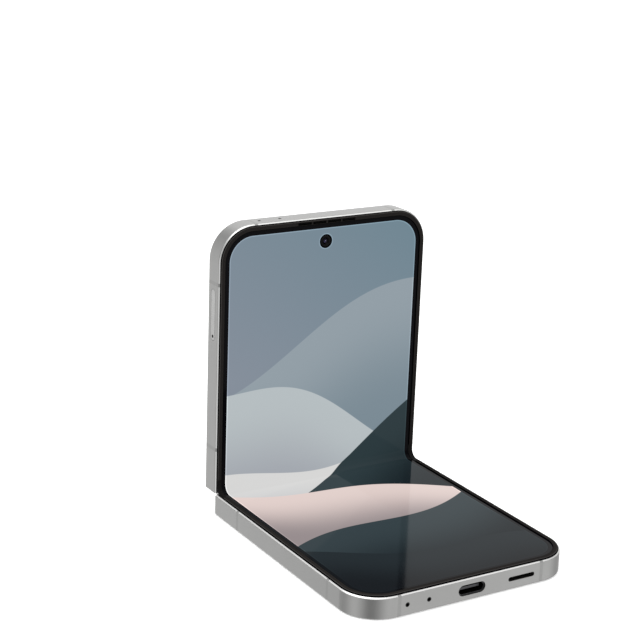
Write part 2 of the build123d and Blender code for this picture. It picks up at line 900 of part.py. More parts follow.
with BuildPart() as lower_microphones:
    microphones(lower, -1, sub_board_floor)
lower_microphones.part.label = "lower_microphones"
export_step(lower_microphones.part, "parts/lower_microphones.step")

with BuildPart() as loudspeaker:
    xs = (-inner_side, -speaker_edge)
    heights = (lower_battery_floor, deck_bottom - battery_roof)
    board(lower, xs, (lower_battery_end + speaker_gap, half_length), heights, speaker_corner)
    end_slot(lower, -speaker_centre, port_height, *speaker_slot, wall + speaker_entry)
loudspeaker.part.label = "loudspeaker"
export_step(loudspeaker.part, "parts/loudspeaker.step")

with BuildPart() as speaker_mesh:
    size = [slot + overlap for slot, overlap in zip(speaker_slot, mesh_overlap)]
    end_slot(lower, -speaker_centre, port_height, *size, wall + mesh_thickness, Mode.ADD, wall)
speaker_mesh.part.label = "speaker_mesh"
export_step(speaker_mesh.part, "parts/speaker_mesh.step")

with BuildPart() as haptic_motor:
    start = lower_battery_end + haptic_gap
    heights = (lower_battery_floor, sub_board_floor)
    block(lower, haptic_span, (start, start + haptic_depth), heights, haptic_corner)
haptic_motor.part.label = "haptic_motor"
export_step(haptic_motor.part, "parts/haptic_motor.step")

with BuildPart() as lower_flex:
    flex_tail(lower, lower_battery_end, sub_board_floor + sub_board_thickness)
lower_flex.part.label = "lower_flex"
export_step(lower_flex.part, "parts/lower_flex.step")

# Hinge spine

with BuildPart() as hinge_cover:
    extrude(spine_section(spine_radius, cover_edge), amount=spine_half, both=True)
    extrude(
        spine_section(cover_inner, cover_edge - through), amount=spine_half, both=True,
        mode=Mode.SUBTRACT,
    )
hinge_cover.part.label = "hinge_cover"
export_step(hinge_cover.part, "parts/hinge_cover.step")

with BuildPart() as hinge_end_caps:
    cap_row = (spine_half - cap_thickness, spine_half)
    across(lambda x: spine_section(cover_inner, cover_edge, x), cap_row)
hinge_end_caps.part.label = "hinge_end_caps"
export_step(hinge_end_caps.part, "parts/hinge_end_caps.step")

sync_shaft_row = (end_rib[0] + side_gap, inner_rib[1])
idler_pin_row = (gear_row[0] - side_gap - pin_hold, inner_rib[1])


def train_shafts(mode=Mode.ADD):
    """The sync shafts and the idler pins of both hinge modules."""
    for side in (-1, 1):
        across(
            lambda x: round_section(1, side * sync_out, sync_down, shaft_radius, x),
            sync_shaft_row, mode,
        )
        across(
            lambda x: round_section(1, side * idler_out, idler_down, idler_pin_radius, x),
            idler_pin_row, mode,
        )


with BuildPart() as hinge_shafts:
    train_shafts()
hinge_shafts.part.label = "hinge_shafts"
export_step(hinge_shafts.part, "parts/hinge_shafts.step")


def rail_guide(side, x):
    """The round block that a rail slides on, about the lower (-1) or upper (1) fold axis."""
    with BuildSketch(spine_plane(x)) as guide:
        with Locations((side * axis_gap / 2, 0)):
            Circle(rail_inner - rail_gap)
        with Locations((0, spine_radius - rib_top)):
            Rectangle(4 * spine_radius, 2 * spine_radius, mode=Mode.SUBTRACT)
    return guide.sketch


def middle_section(x):
    """The block between the two rows of cams and springs."""
    side = sync_out - cam_radius - block_gap
    with BuildSketch(spine_plane(x)) as block_face:
        with Locations((0, -(rib_top + cover_inner) / 2)):
            Rectangle(2 * side, cover_inner - rib_top)
    return block_face.sketch


with BuildPart() as hinge_brackets:
    for row in (outer_rib, middle_rib, inner_rib, end_rib):
        across(lambda x: spine_section(cover_inner, rib_top, x), row)
    for side, row in ((1, upper_rail), (-1, lower_rail)):
        across(lambda x: rail_guide(side, x), (row[0] - side_gap, row[1] + side_gap))
    across(middle_section, (end_rib[1], gear_row[0] - side_gap))
    train_shafts(Mode.SUBTRACT)
hinge_brackets.part.label = "hinge_brackets"
export_step(hinge_brackets.part, "parts/hinge_brackets.step")

with BuildPart() as torque_cams:
    for side in (-1, 1):
        for radius, mode in ((cam_radius, Mode.ADD), (shaft_radius + shaft_fit, Mode.SUBTRACT)):
            across(
                lambda x: round_section(1, side * sync_out, sync_down, radius, x),
                (cam_row[0], cam_row[1]), mode,
            )
torque_cams.part.label = "torque_cams"
export_step(torque_cams.part, "parts/torque_cams.step")

with BuildPart() as torque_springs:
    for side in (-1, 1):
        for start in (spring_row[0] + spring_wire, -spring_row[1] + spring_wire):
            centre = spine.from_local_coords((start, side * sync_out, -sync_down))
            height = spring_length - 2 * spring_wire
            with BuildLine() as coil:
                Helix(height / spring_turns, height, spring_radius, center=centre, direction=(1, 0, 0))
            with BuildSketch(Plane(origin=coil.line @ 0, z_dir=coil.line % 0)) as wire:
                Circle(spring_wire)
            sweep(wire.sketch, path=coil.line)
torque_springs.part.label = "torque_springs"
export_step(torque_springs.part, "parts/torque_springs.step")

with BuildPart() as main_display_fold:
    side = width / 2 - display_edge
    extrude(bend_section(0, display_top, display_thickness, bend_reach), amount=side, both=True)
main_display_fold.part.label = "main_display_fold"
export_step(main_display_fold.part, "parts/main_display_fold.step")

with BuildPart() as fold_edge_strips:
    strip_row = (width / 2 - display_inset, width / 2 - trim_inset - strip_inset)
    height = rim_height + edge_strip_thickness
    across(lambda x: bend_section(x, height, edge_strip_thickness, trim_fold_end), strip_row)
fold_edge_strips.part.label = "fold_edge_strips"
export_step(fold_edge_strips.part, "parts/fold_edge_strips.step")


def flex_end(side):
    """Where a half's flex cable ends over the hinge bay, in the spine's side view at rest."""
    x = bend_reach + flex_start - axis_setback
    out, up = turned(x, flex_floor + flex_thickness / 2 - axis_height, 45)
    return side * (out + axis_gap / 2), up


with BuildPart() as fold_flex:
    lowest = fold_flex_gap - cover_inner
    with BuildSketch(spine_plane()) as strip:
        with BuildLine() as route:
            FilletPolyline(
                flex_end(-1), (-axis_gap / 2, -rib_top), (-fold_flex_flat, lowest),
                (fold_flex_flat, lowest), (axis_gap / 2, -rib_top), flex_end(1),
                radius=fold_flex_radius,
            )
        trace(route.line, flex_thickness)
    extrude(strip.sketch, amount=flex_half, both=True)
fold_flex.part.label = "fold_flex"
export_step(fold_flex.part, "parts/fold_flex.step")

# Gear train, each set turning by itself

with BuildPart() as lower_sync_arms:
    sync_arms(-1, lower_sync_tooth)
lower_sync_arms.part.label = "lower_sync_arms"
export_step(lower_sync_arms.part, "parts/lower_sync_arms.step")

with BuildPart() as upper_sync_arms:
    sync_arms(1, upper_sync_tooth)
upper_sync_arms.part.label = "upper_sync_arms"
export_step(upper_sync_arms.part, "parts/upper_sync_arms.step")

with BuildPart() as lower_idlers:
    idler_gears(-1, lower_idler_tooth)
lower_idlers.part.label = "lower_idlers"
export_step(lower_idlers.part, "parts/lower_idlers.step")

with BuildPart() as upper_idlers:
    idler_gears(1, upper_idler_tooth)
upper_idlers.part.label = "upper_idlers"
export_step(upper_idlers.part, "parts/upper_idlers.step")

# Upper half

volume_middle = sum(volume_key_span) / 2
side_key_middle = sum(side_key_span) / 2
tray_middle = sum(tray_span) / 2
board_roof = main_board_floor + main_board_thickness
camera_cut = camera_places[0] - wide_half - camera_notch_gap


def grown(span, room):
    return span[0] - room, span[1] + room


with BuildPart() as upper_body:
    half_frame(upper, upper_strip)
    height = key_height + 2 * key_slot_gap
    for span in (volume_key_span, side_key_span):
        side_slot(upper, 1, grown(span, key_slot_gap), port_height, height, wall + through)
    height = tray_height + 2 * tray_gap
    side_slot(upper, -1, grown(tray_span, tray_gap), port_height, height, wall + through)
    for place in mic_places:
        end_hole(upper, place, port_height, mic_hole, wall + through)
    heights = (deck_bottom - through, display_bottom + through)
    disc(upper, 0, selfie_y, heights, selfie_radius + selfie_gap, mode=Mode.SUBTRACT)
    posts = [(x, upper_battery_end + upper_post_row) for x in (-upper_posts, upper_posts)]
    posts.append((camera_post[0], camera_y - camera_post[1]))
    for x, y in posts:
        disc(upper, x, y, (board_roof, deck_bottom), post_radius)

with BuildPart() as upper_frame:
    add(upper_body.part)
    break_cuts(upper, Mode.SUBTRACT)
upper_frame.part.label = "upper_frame"
export_step(upper_frame.part, "parts/upper_frame.step")

with BuildPart() as upper_antenna_breaks:
    add(upper_body.part)
    break_cuts(upper, Mode.INTERSECT)
upper_antenna_breaks.part.label = "upper_antenna_breaks"
export_step(upper_antenna_breaks.part, "parts/upper_antenna_breaks.step")


def earpiece_bars(heights, room, mode=Mode.ADD):
    """The earpiece's four short slots in the raised rim."""
    pitch = 2 * earpiece_half / earpiece_count
    y = half_length - earpiece_inset
    with BuildSketch(upper.offset(heights[0])) as bars:
        with Locations((0, y)):
            with GridLocations(pitch, 1, earpiece_count, 1):
                Rectangle(pitch - earpiece_rib - room, earpiece_width - room)
    extrude(bars.sketch, amount=heights[1] - heights[0], mode=mode)


with BuildPart() as upper_trim:
    add(raised_trim(upper))
    earpiece_bars((rim_height, half_thickness + through), 0, Mode.SUBTRACT)
upper_trim.part.label = "upper_trim"
export_step(upper_trim.part, "parts/upper_trim.step")

with BuildPart() as earpiece_mesh:
    earpiece_bars((display_top, half_thickness - earpiece_mesh_sink), earpiece_mesh_gap)
earpiece_mesh.part.label = "earpiece_mesh"
export_step(earpiece_mesh.part, "parts/earpiece_mesh.step")

with BuildPart() as cover_glass:
    add(rear_glass(upper, upper_strip))
    holes = [(place, ring_neck + glass_gap) for place in camera_places]
    holes.append((flash_place, flash_radius + glass_gap))
    for x, radius in holes:
        disc(upper, x, camera_y, (-through, through), radius, mode=Mode.SUBTRACT)
cover_glass.part.label = "cover_glass"
export_step(cover_glass.part, "parts/cover_glass.step")

with BuildPart() as cover_display:
    left = width / 2 - cover_left + cover_border
    right = cover_right - width / 2 - cover_border
    bottom = cover_bottom - cover_border
    low = half_length - cover_top_low + cover_border
    high = half_length - cover_top_high + cover_border
    step = [width / 2 - place + cover_border / 3 for place in cover_step]
    middle = sum(step) / 2
    with BuildSketch(upper.offset(glass_thickness)) as panel:
        with BuildLine():
            Polyline(
                (step[0], low), (left, low), (left, bottom), (right, bottom), (right, high),
                (step[1], high),
            )
            Bezier((step[0], low), (middle, low), (middle, high), (step[1], high))
        make_face()
        corners = panel.vertices().filter_by(lambda v: abs(v.X) > width / 3)
        fillet(corners, cover_corner + cover_border)
    extrude(panel.sketch, amount=cover_thickness_panel)
cover_display.part.label = "cover_display"
export_step(cover_display.part, "parts/cover_display.step")

with BuildPart() as main_display_upper:
    extrude(half_plan(upper, display_bottom, display_edge, bend_reach), amount=display_thickness)
    disc(upper, 0, selfie_y, (0, 2 * half_thickness), selfie_radius, mode=Mode.SUBTRACT)
main_display_upper.part.label = "main_display_upper"
export_step(main_display_upper.part, "parts/main_display_upper.step")

with BuildPart() as upper_wing_plate:
    wing_plate(upper)
upper_wing_plate.part.label = "upper_wing_plate"
export_step(upper_wing_plate.part, "parts/upper_wing_plate.step")

with BuildPart() as upper_hinge_arms:
    hinge_arms(upper, upper_rail)
upper_hinge_arms.part.label = "upper_hinge_arms"
export_step(upper_hinge_arms.part, "parts/upper_hinge_arms.step")

with BuildPart() as upper_hinge_fasteners:
    screws(upper)
    drive_pins(upper)
upper_hinge_fasteners.part.label = "upper_hinge_fasteners"
export_step(upper_hinge_fasteners.part, "parts/upper_hinge_fasteners.step")

with BuildPart() as upper_battery:
    battery(upper, upper_battery_end, upper_battery_floor)
upper_battery.part.label = "upper_battery"
export_step(upper_battery.part, "parts/upper_battery.step")

with BuildPart() as main_board:
    heights = (main_board_floor, board_roof)
    side = inner_side - board_side_room
    board(upper, (-side, side), (upper_battery_end + board_gap, half_length), heights, board_corner)
    for x, below in ((camera_cut, camera_notch), top_notch):
        block(upper, (x, width), (camera_y - below, half_length), heights, mode=Mode.SUBTRACT)
main_board.part.label = "main_board"
export_step(main_board.part, "parts/main_board.step")

with BuildPart() as shield_cans:
    ys = (upper_battery_end + can_gaps[0], camera_y - can_gaps[1])
    heights = (main_board_floor - can_height, main_board_floor)
    for xs in can_spans:
        block(upper, xs, ys, heights, can_corner)
        inner = (heights[0] + can_wall, heights[1])
        block(
            upper, grown(xs, -can_wall), grown(ys, -can_wall), inner, can_corner - can_wall,
            Mode.SUBTRACT,
        )
shield_cans.part.label = "shield_cans"
export_step(shield_cans.part, "parts/shield_cans.step")

with BuildPart() as upper_flex:
    flex_tail(upper, upper_battery_end, board_roof)
upper_flex.part.label = "upper_flex"
export_step(upper_flex.part, "parts/upper_flex.step")

with BuildPart() as upper_microphones:
    microphones(upper, 1, main_board_floor)
upper_microphones.part.label = "upper_microphones"
export_step(upper_microphones.part, "parts/upper_microphones.step")

with BuildPart() as earpiece:
    heights = (deck_bottom - earpiece_body[2], deck_bottom)
    ys = (inner_end - earpiece_body[1], inner_end)
    block(upper, (-earpiece_body[0] / 2, earpiece_body[0] / 2), ys, heights, earpiece_corner)
earpiece.part.label = "earpiece"
export_step(earpiece.part, "parts/earpiece.step")

# Cameras

with BuildPart() as camera_rings:
    for x in camera_places:
        disc(upper, x, camera_y, (-ring_proud, 0), ring_radius)
        disc(upper, x, camera_y, (0, module_front), ring_neck)
    backs = camera_rings.faces().sort_by(Axis(upper.origin, upper.z_dir))[:2]
    chamfer(backs.edges(), ring_bevel)
    for x in camera_places:
        disc(upper, x, camera_y, (-ring_proud, module_front), ring_opening, Mode.SUBTRACT)
        with BuildSketch(upper.offset(-ring_proud)) as mouth:
            with Locations((x, camera_y)):
                Circle(ring_opening + ring_mouth)
        extrude(mouth.sketch, amount=ring_mouth, taper=45, mode=Mode.SUBTRACT)
camera_rings.part.label = "camera_rings"
export_step(camera_rings.part, "parts/camera_rings.step")

with BuildPart() as camera_glasses:
    back = -ring_proud + lens_recess
    for x in camera_places:
        disc(upper, x, camera_y, (back, back + lens_thickness), ring_opening)
camera_glasses.part.label = "camera_glasses"
export_step(camera_glasses.part, "parts/camera_glasses.step")

with BuildPart() as wide_camera:
    x = camera_places[0]
    ys = grown((camera_y, camera_y), wide_half)
    block(upper, grown((x, x), wide_half), ys, (module_front, module_back), module_corner)
    disc(upper, x, camera_y, (snout_back, module_front), snout_radius)
    bore = (snout_back, barrel_span[1] + barrel_floor)
    disc(upper, x, camera_y, bore, barrel_radius + barrel_gap, Mode.SUBTRACT)
wide_camera.part.label = "wide_camera"
export_step(wide_camera.part, "parts/wide_camera.step")

with BuildPart() as ultrawide_camera:
    x = camera_places[1]
    ys = grown((camera_y, camera_y), ultrawide_half)
    block(upper, grown((x, x), ultrawide_half), ys, (module_front, module_back), module_corner)
    disc(upper, x, camera_y, (snout_back, module_front), snout_radius)
    with BuildSketch(upper.offset(snout_back)) as mouth:
        with Locations((x, camera_y)):
            Circle(barrel_radius)
    extrude(
        mouth.sketch, amount=ultrawide_mouth[0], taper=ultrawide_mouth[1], mode=Mode.SUBTRACT
    )
ultrawide_camera.part.label = "ultrawide_camera"
export_step(ultrawide_camera.part, "parts/ultrawide_camera.step")

with BuildPart() as wide_lens_barrel:
    x = camera_places[0]
    disc(upper, x, camera_y, barrel_span, barrel_radius)
    with BuildSketch(upper.offset(barrel_span[0])) as mouth:
        with Locations((x, camera_y)):
            Circle(barrel_radius - barrel_lip)
    extrude(mouth.sketch, amount=barrel_mouth[0], taper=barrel_mouth[1], mode=Mode.SUBTRACT)
wide_lens_barrel.part.label = "wide_lens_barrel"
export_step(wide_lens_barrel.part, "parts/wide_lens_barrel.step")

with BuildPart() as flash_lens:
    disc(upper, flash_place, camera_y, (0, glass_thickness), flash_radius)
flash_lens.part.label = "flash_lens"
export_step(flash_lens.part, "parts/flash_lens.step")

with BuildPart() as flash_led:
    side = flash_radius * led_share
    xs = grown((flash_place, flash_place), side)
    ys = grown((camera_y, camera_y), side)
    block(upper, xs, ys, (glass_thickness, module_front), led_corner)
flash_led.part.label = "flash_led"
export_step(flash_led.part, "parts/flash_led.step")

with BuildPart() as selfie_camera:
    ys = grown((selfie_y, selfie_y), selfie_half)
    heights = (selfie_floor, deck_bottom - selfie_roof)
    block(upper, (-selfie_half, selfie_half), ys, heights, selfie_corner)
    top = display_top - selfie_sink
    disc(upper, 0, selfie_y, (selfie_floor, top), selfie_radius - selfie_fit)
    with BuildSketch(upper.offset(top)) as mouth:
        with Locations((0, selfie_y)):
            Circle(selfie_radius - selfie_lip)
    extrude(mouth.sketch, amount=-selfie_cone[0], taper=selfie_cone[1], mode=Mode.SUBTRACT)
selfie_camera.part.label = "selfie_camera"
export_step(selfie_camera.part, "parts/selfie_camera.step")

# Keys and card tray


def key_cap(span, flange, proud=0.0):
    """A key with round ends through the wall, and the flange that holds it in."""
    side_slot(
        upper, 1, span, port_height, key_height, width / 2 - flange[0], Mode.ADD, -proud
    )
    ys = grown(span, key_overhang)
    heights = grown((port_height, port_height), key_height / 2 + key_overhang)
    block(upper, flange, ys, heights)


with BuildPart() as volume_key:
    key_cap(volume_key_span, key_flange, key_proud)
    x = key_flange[0] - rocker_sink
    boss = grown((port_height, port_height), key_height / 2)
    disc(upper, x, volume_middle, boss, rocker_boss)
    disc(upper, x, volume_middle, (0, half_thickness), rocker_pin + shaft_fit, Mode.SUBTRACT)
    outer = volume_key.faces().sort_by(Axis.X)[-1]
    fillet(outer.edges(), key_round)
volume_key.part.label = "volume_key"
export_step(volume_key.part, "parts/volume_key.step")

with BuildPart() as side_key:
    flange = [x + key_travel for x in key_flange]
    key_cap(side_key_span, flange, key_proud)
    outer = side_key.faces().sort_by(Axis.X)[-1]
    fillet(outer.edges(), key_round)
side_key.part.label = "side_key"
export_step(side_key.part, "parts/side_key.step")


def key_strip(ys, heights, depth):
    """A layer of the switch strip, forward from its back."""
    back = switch_face - switch_depth
    block(upper, (back, back + depth), ys, heights)


with BuildPart() as key_switches:
    half_step, half_height = switch_half
    heights = grown((port_height, port_height), half_height)
    ys = (side_key_middle - strip_end, volume_middle + volume_switch_step + strip_end)
    key_strip(ys, heights, strip_thickness)
    switches = (
        (volume_middle - volume_switch_step, rocker_gap),
        (volume_middle + volume_switch_step, rocker_gap),
        (side_key_middle, press_gap),
    )
    for y, gap in switches:
        key_strip(grown((y, y), half_step), heights, switch_depth)
        with BuildSketch(side_plane(upper, switch_face)) as plunger:
            with Locations((y, port_height)):
                Circle(plunger_radius)
        extrude(plunger.sketch, amount=switch_room - gap)
    inner = grown((port_height, port_height), key_height / 2 + key_overhang + tray_gap)
    outer = grown(inner, bracket_plate)
    ys = grown((volume_middle, volume_middle), bracket_half)
    pin_x = key_flange[0] - rocker_sink
    for heights in ((outer[0], inner[0]), (inner[1], outer[1])):
        key_strip(ys, heights, pin_x + rocker_pin - switch_face + switch_depth)
    key_strip(ys, outer, strip_thickness)
    disc(upper, pin_x, volume_middle, outer, rocker_pin)
key_switches.part.label = "key_switches"
export_step(key_switches.part, "parts/key_switches.step")

with BuildPart() as sim_tray:
    side_slot(upper, -1, tray_span, port_height, tray_height, wall, Mode.ADD)
    xs = (-width / 2 + wall, -tray_inner)
    ys = grown((tray_middle, tray_middle), tray_body[0] / 2)
    heights = grown((port_height, port_height), tray_body[1] / 2)
    block(upper, xs, ys, heights)
    xs = (-tray_inner - card_inset - card[1], -tray_inner - card_inset)
    heights = (port_height - tray_body[1] / 2 + card_floor, half_thickness)
    block(upper, xs, grown((tray_middle, tray_middle), card[0] / 2), heights, mode=Mode.SUBTRACT)
    eject = tray_span[0] + tray_height / 2
    with BuildSketch(side_plane(upper, -width / 2)) as hole:
        with Locations((eject, port_height)):
            Circle(eject_radius)
    extrude(hole.sketch, amount=wall, mode=Mode.SUBTRACT)
sim_tray.part.label = "sim_tray"
export_step(sim_tray.part, "parts/sim_tray.step")

with BuildPart() as sim_reader:
    ys = grown((tray_middle, tray_middle), tray_body[0] / 2 + reader_gaps[0])
    heights = grown((port_height, port_height), tray_body[1] / 2 + reader_gaps[1])
    xs = (reader_start - inner_side, reader_end - tray_inner)
    outer = (heights[0] - reader_wall, main_board_floor)
    block(upper, grown(xs, 0), grown(ys, reader_wall), outer)
    block(upper, (-width, xs[1] - reader_wall), ys, heights, mode=Mode.SUBTRACT)
sim_reader.part.label = "sim_reader"
export_step(sim_reader.part, "parts/sim_reader.step")
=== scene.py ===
import json
import math

import bpy
from mathutils import Matrix, Quaternion, Vector

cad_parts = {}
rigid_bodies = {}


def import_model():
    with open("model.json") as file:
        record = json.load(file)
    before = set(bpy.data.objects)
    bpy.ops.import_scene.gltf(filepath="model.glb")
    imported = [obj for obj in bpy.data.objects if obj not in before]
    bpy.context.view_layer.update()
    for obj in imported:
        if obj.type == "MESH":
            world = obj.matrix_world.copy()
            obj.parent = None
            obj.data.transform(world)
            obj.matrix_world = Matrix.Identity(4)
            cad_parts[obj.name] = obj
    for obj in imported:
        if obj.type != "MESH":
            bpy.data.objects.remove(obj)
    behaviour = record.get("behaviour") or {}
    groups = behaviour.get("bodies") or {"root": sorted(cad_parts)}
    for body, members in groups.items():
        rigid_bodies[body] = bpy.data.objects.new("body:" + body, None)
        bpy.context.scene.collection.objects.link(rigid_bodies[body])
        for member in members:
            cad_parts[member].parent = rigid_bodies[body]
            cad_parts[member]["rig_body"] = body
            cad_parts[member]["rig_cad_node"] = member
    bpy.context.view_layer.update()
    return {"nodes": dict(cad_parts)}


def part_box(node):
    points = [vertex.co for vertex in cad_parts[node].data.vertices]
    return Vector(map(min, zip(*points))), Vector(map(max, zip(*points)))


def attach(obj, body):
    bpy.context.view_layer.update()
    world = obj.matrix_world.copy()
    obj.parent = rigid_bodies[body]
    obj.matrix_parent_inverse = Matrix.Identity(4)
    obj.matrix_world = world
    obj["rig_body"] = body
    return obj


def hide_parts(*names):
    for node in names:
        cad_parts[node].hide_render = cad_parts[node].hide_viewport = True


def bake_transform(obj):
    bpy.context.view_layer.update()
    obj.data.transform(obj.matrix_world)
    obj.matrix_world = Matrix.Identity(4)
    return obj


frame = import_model()
cad = frame["nodes"]
mm = 0.001
bpy.ops.object.select_all(action="DESELECT")
print("frame loaded,", len(cad), "nodes")

# places read from the frame, so the looks follow the parts
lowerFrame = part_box("lower_frame")
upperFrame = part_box("upper_frame")
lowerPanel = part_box("main_display_lower")
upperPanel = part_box("main_display_upper")
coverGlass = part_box("cover_glass")
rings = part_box("camera_rings")
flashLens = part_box("flash_lens")

foldY = lowerFrame[1].y  # where the lower half ends
foldZ = upperFrame[0].z  # where the upper half starts
halfWidth = lowerFrame[1].x
halfLength = foldY - lowerFrame[0].y
metalTop = lowerFrame[1].z
metalFace = upperFrame[0].y
displayTop = lowerPanel[1].z
displayFace = upperPanel[0].y
# (y, z) on the lower half is the same place as (mirrorSum - z, mirrorSum - y) on the upper one
mirrorSum = displayTop + displayFace
bendStart = lowerPanel[1].y  # the flat display ends here and the bend starts
backFace = coverGlass[1].y
ringRadius = (rings[1].z - rings[0].z) / 2
cameraZ = (rings[1].z + rings[0].z) / 2
wideX = rings[0].x + ringRadius
ultrawideX = rings[1].x - ringRadius
flashX = (flashLens[0].x + flashLens[1].x) / 2

black = (0, 0, 0, 1)


# shader nodes, each made and joined in one call
def feed(tree, socket, value):
    if isinstance(value, bpy.types.NodeSocket):
        tree.links.new(value, socket)
    else:
        socket.default_value = value


def addNode(tree, kind, inputs=None, **settings):
    made = tree.nodes.new("ShaderNode" + kind)
    for name, value in settings.items():
        setattr(made, name, value)
    for place, value in (inputs or {}).items():
        feed(tree, made.inputs[place], value)
    return made


def calc(tree, operation, *values):
    return addNode(tree, "Math", dict(enumerate(values)), operation=operation).outputs[0]


def spread(tree, value, low, high, start=0.0, end=1.0, kind="LINEAR"):
    inputs = {0: value, 1: low, 2: high, 3: start, 4: end}
    return addNode(tree, "MapRange", inputs, interpolation_type=kind).outputs[0]


def step(tree, value, low, high):
    return spread(tree, value, low, high, kind="SMOOTHSTEP")


def mix(tree, share, first, second, kind="MIX"):
    inputs = {0: share, 6: first, 7: second}
    return addNode(tree, "Mix", inputs, data_type="RGBA", blend_type=kind).outputs[2]


def mixValue(tree, share, first, second):
    return addNode(tree, "Mix", {0: share, 2: first, 3: second}, data_type="FLOAT").outputs[0]


def noise(tree, place, scale, detail, roughness=0.5):
    inputs = {"Vector": place, "Scale": scale, "Detail": detail, "Roughness": roughness}
    return addNode(tree, "TexNoise", inputs).outputs["Fac"]


def noiseRange(tree, pattern, low, high):  # noise stays mostly between 0.3 and 0.7
    return spread(tree, pattern, 0.3, 0.7, low, high)


def stretched(tree, place, scale, move=(0, 0, 0)):
    return addNode(tree, "Mapping", {"Vector": place, "Location": move, "Scale": scale}).outputs[0]


def joined(tree, *values):
    return addNode(tree, "CombineXYZ", dict(enumerate(values))).outputs[0]


def length(tree, vector):
    return addNode(tree, "VectorMath", {0: vector}, operation="LENGTH").outputs["Value"]


def fromAxis(tree, place, x, z):  # distance from a line along Y
    return length(tree, stretched(tree, place, (1, 0, 1), (-x, 0, -z)))


def ramp(tree, share, stops):
    made = addNode(tree, "ValToRGB", {0: share})
    points = made.color_ramp.elements
    for index, (position, colour) in enumerate(stops):
        point = points[index] if index < 2 else points.new(position)
        point.position = position
        point.color = colour
    return made.outputs["Color"]


def objectPlace(tree):
    return addNode(tree, "TexCoord").outputs["Object"]


def xyz(tree, place):
    return addNode(tree, "SeparateXYZ", {0: place}).outputs


def screenColour(red, green, blue):  # from screen values of 0 to 255
    values = [channel / 255 for channel in (red, green, blue)]
    linear = [v / 12.92 if v < 0.04 else ((v + 0.055) / 1.055) ** 2.4 for v in values]
    return (*linear, 1.0)


def dimmed(colour, share):
    return [channel * share for channel in colour[:3]] + [1]


def newMaterial(name, settings=None):
    material = bpy.data.materials.new(name)
    material.use_nodes = True
    shader = material.node_tree.nodes["Principled BSDF"]
    for socket, value in (settings or {}).items():
        shader.inputs[socket].default_value = value
    return material, material.node_tree, shader


def paint(tree, shader, colour):
    feed(tree, shader.inputs["Base Color"], colour)


def roughen(tree, shader, pattern, low, high):
    feed(tree, shader.inputs["Roughness"], noiseRange(tree, pattern, low, high))


def bump(tree, shader, pattern, depth):
    made = addNode(tree, "Bump", {"Strength": 1.0, "Distance": depth, "Height": pattern})
    feed(tree, shader.inputs["Normal"], made.outputs[0])


# the two frames: blasted metal with a polished chamfer beside the rim
frameFinish = {
    "silver": (0.36, 0.36, 0.355, 1),
    "silverDeep": (0.32, 0.32, 0.315, 1),
    "edge": (0.75, 0.75, 0.74, 1),
    "edgeHeight": 0.3 * mm,
    "edgeRoughness": 0.3,
    "roughness": (0.3, 0.42),
    "blastScale": 9000,
    "blastDepth": 0.006 * mm,
    "holeShade": (0.002, 0.002, 0.002, 1),  # painted shade round each microphone hole in the near end
    "holeShadeRadius": 0.72 * mm,
    "holeShadeBlur": 0.05 * mm,
    "holeInset": 1.5 * mm,  # from each microphone's outer side to the middle of its hole
    "holeHeight": 3.2 * mm,
}
soundHoles = [(edge.x + inward * frameFinish["holeInset"], frameFinish["holeHeight"])
              for edge, inward in zip(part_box("lower_microphones"), (1, -1))]


def frameMetal(name, axis, level, side, holes=()):
    look = frameFinish
    material, tree, shader = newMaterial(name, {"Metallic": 1.0})
    place = objectPlace(tree)
    below = calc(tree, "SUBTRACT", level, xyz(tree, place)[axis])
    polished = calc(tree, "LESS_THAN", calc(tree, "MULTIPLY", below, side), look["edgeHeight"])
    blast = noise(tree, place, look["blastScale"], detail=2)
    body = mix(tree, noise(tree, place, 60, detail=3), look["silverDeep"], look["silver"])
    colour = mix(tree, polished, body, look["edge"])
    metallic = 1.0
    # painted shade: black and not metallic inside a ring round each hole
    for x, z in holes:
        outside = step(tree, fromAxis(tree, place, x, z), look["holeShadeRadius"] - look["holeShadeBlur"],
                       look["holeShadeRadius"])
        colour = mix(tree, outside, look["holeShade"], colour)
        metallic = calc(tree, "MULTIPLY", metallic, outside)
    paint(tree, shader, colour)
    feed(tree, shader.inputs["Metallic"], metallic)
    satin = noiseRange(tree, blast, *look["roughness"])
    feed(tree, shader.inputs["Roughness"], mixValue(tree, polished, satin, look["edgeRoughness"]))
    unpolished = calc(tree, "SUBTRACT", 1.0, polished)
    bump(tree, shader, calc(tree, "MULTIPLY", blast, unpolished), look["blastDepth"])
    return material


def satinMetal(name, colour, roughness, grain=(1, 1, 1)):
    material, tree, shader = newMaterial(name, {"Metallic": 1.0})
    place = stretched(tree, objectPlace(tree), grain)
    fine = noise(tree, place, 5000, detail=3)
    cloud = noise(tree, place, 220, detail=3)
    paint(tree, shader, mix(tree, cloud, dimmed(colour, 0.86), colour))
    roughen(tree, shader, fine, roughness * 0.8, roughness * 1.2)
    bump(tree, shader, fine, 0.004 * mm)
    return material


ringFinish = {
    "colour": (0.42, 0.42, 0.415, 1),
    "roughness": 0.24,
    "lineScale": 14000,
    "lineDepth": 0.003 * mm,
    "mouth": ringRadius - 1.25 * mm,  # painted shade inside this radius, darkening the ring's inner groove
}


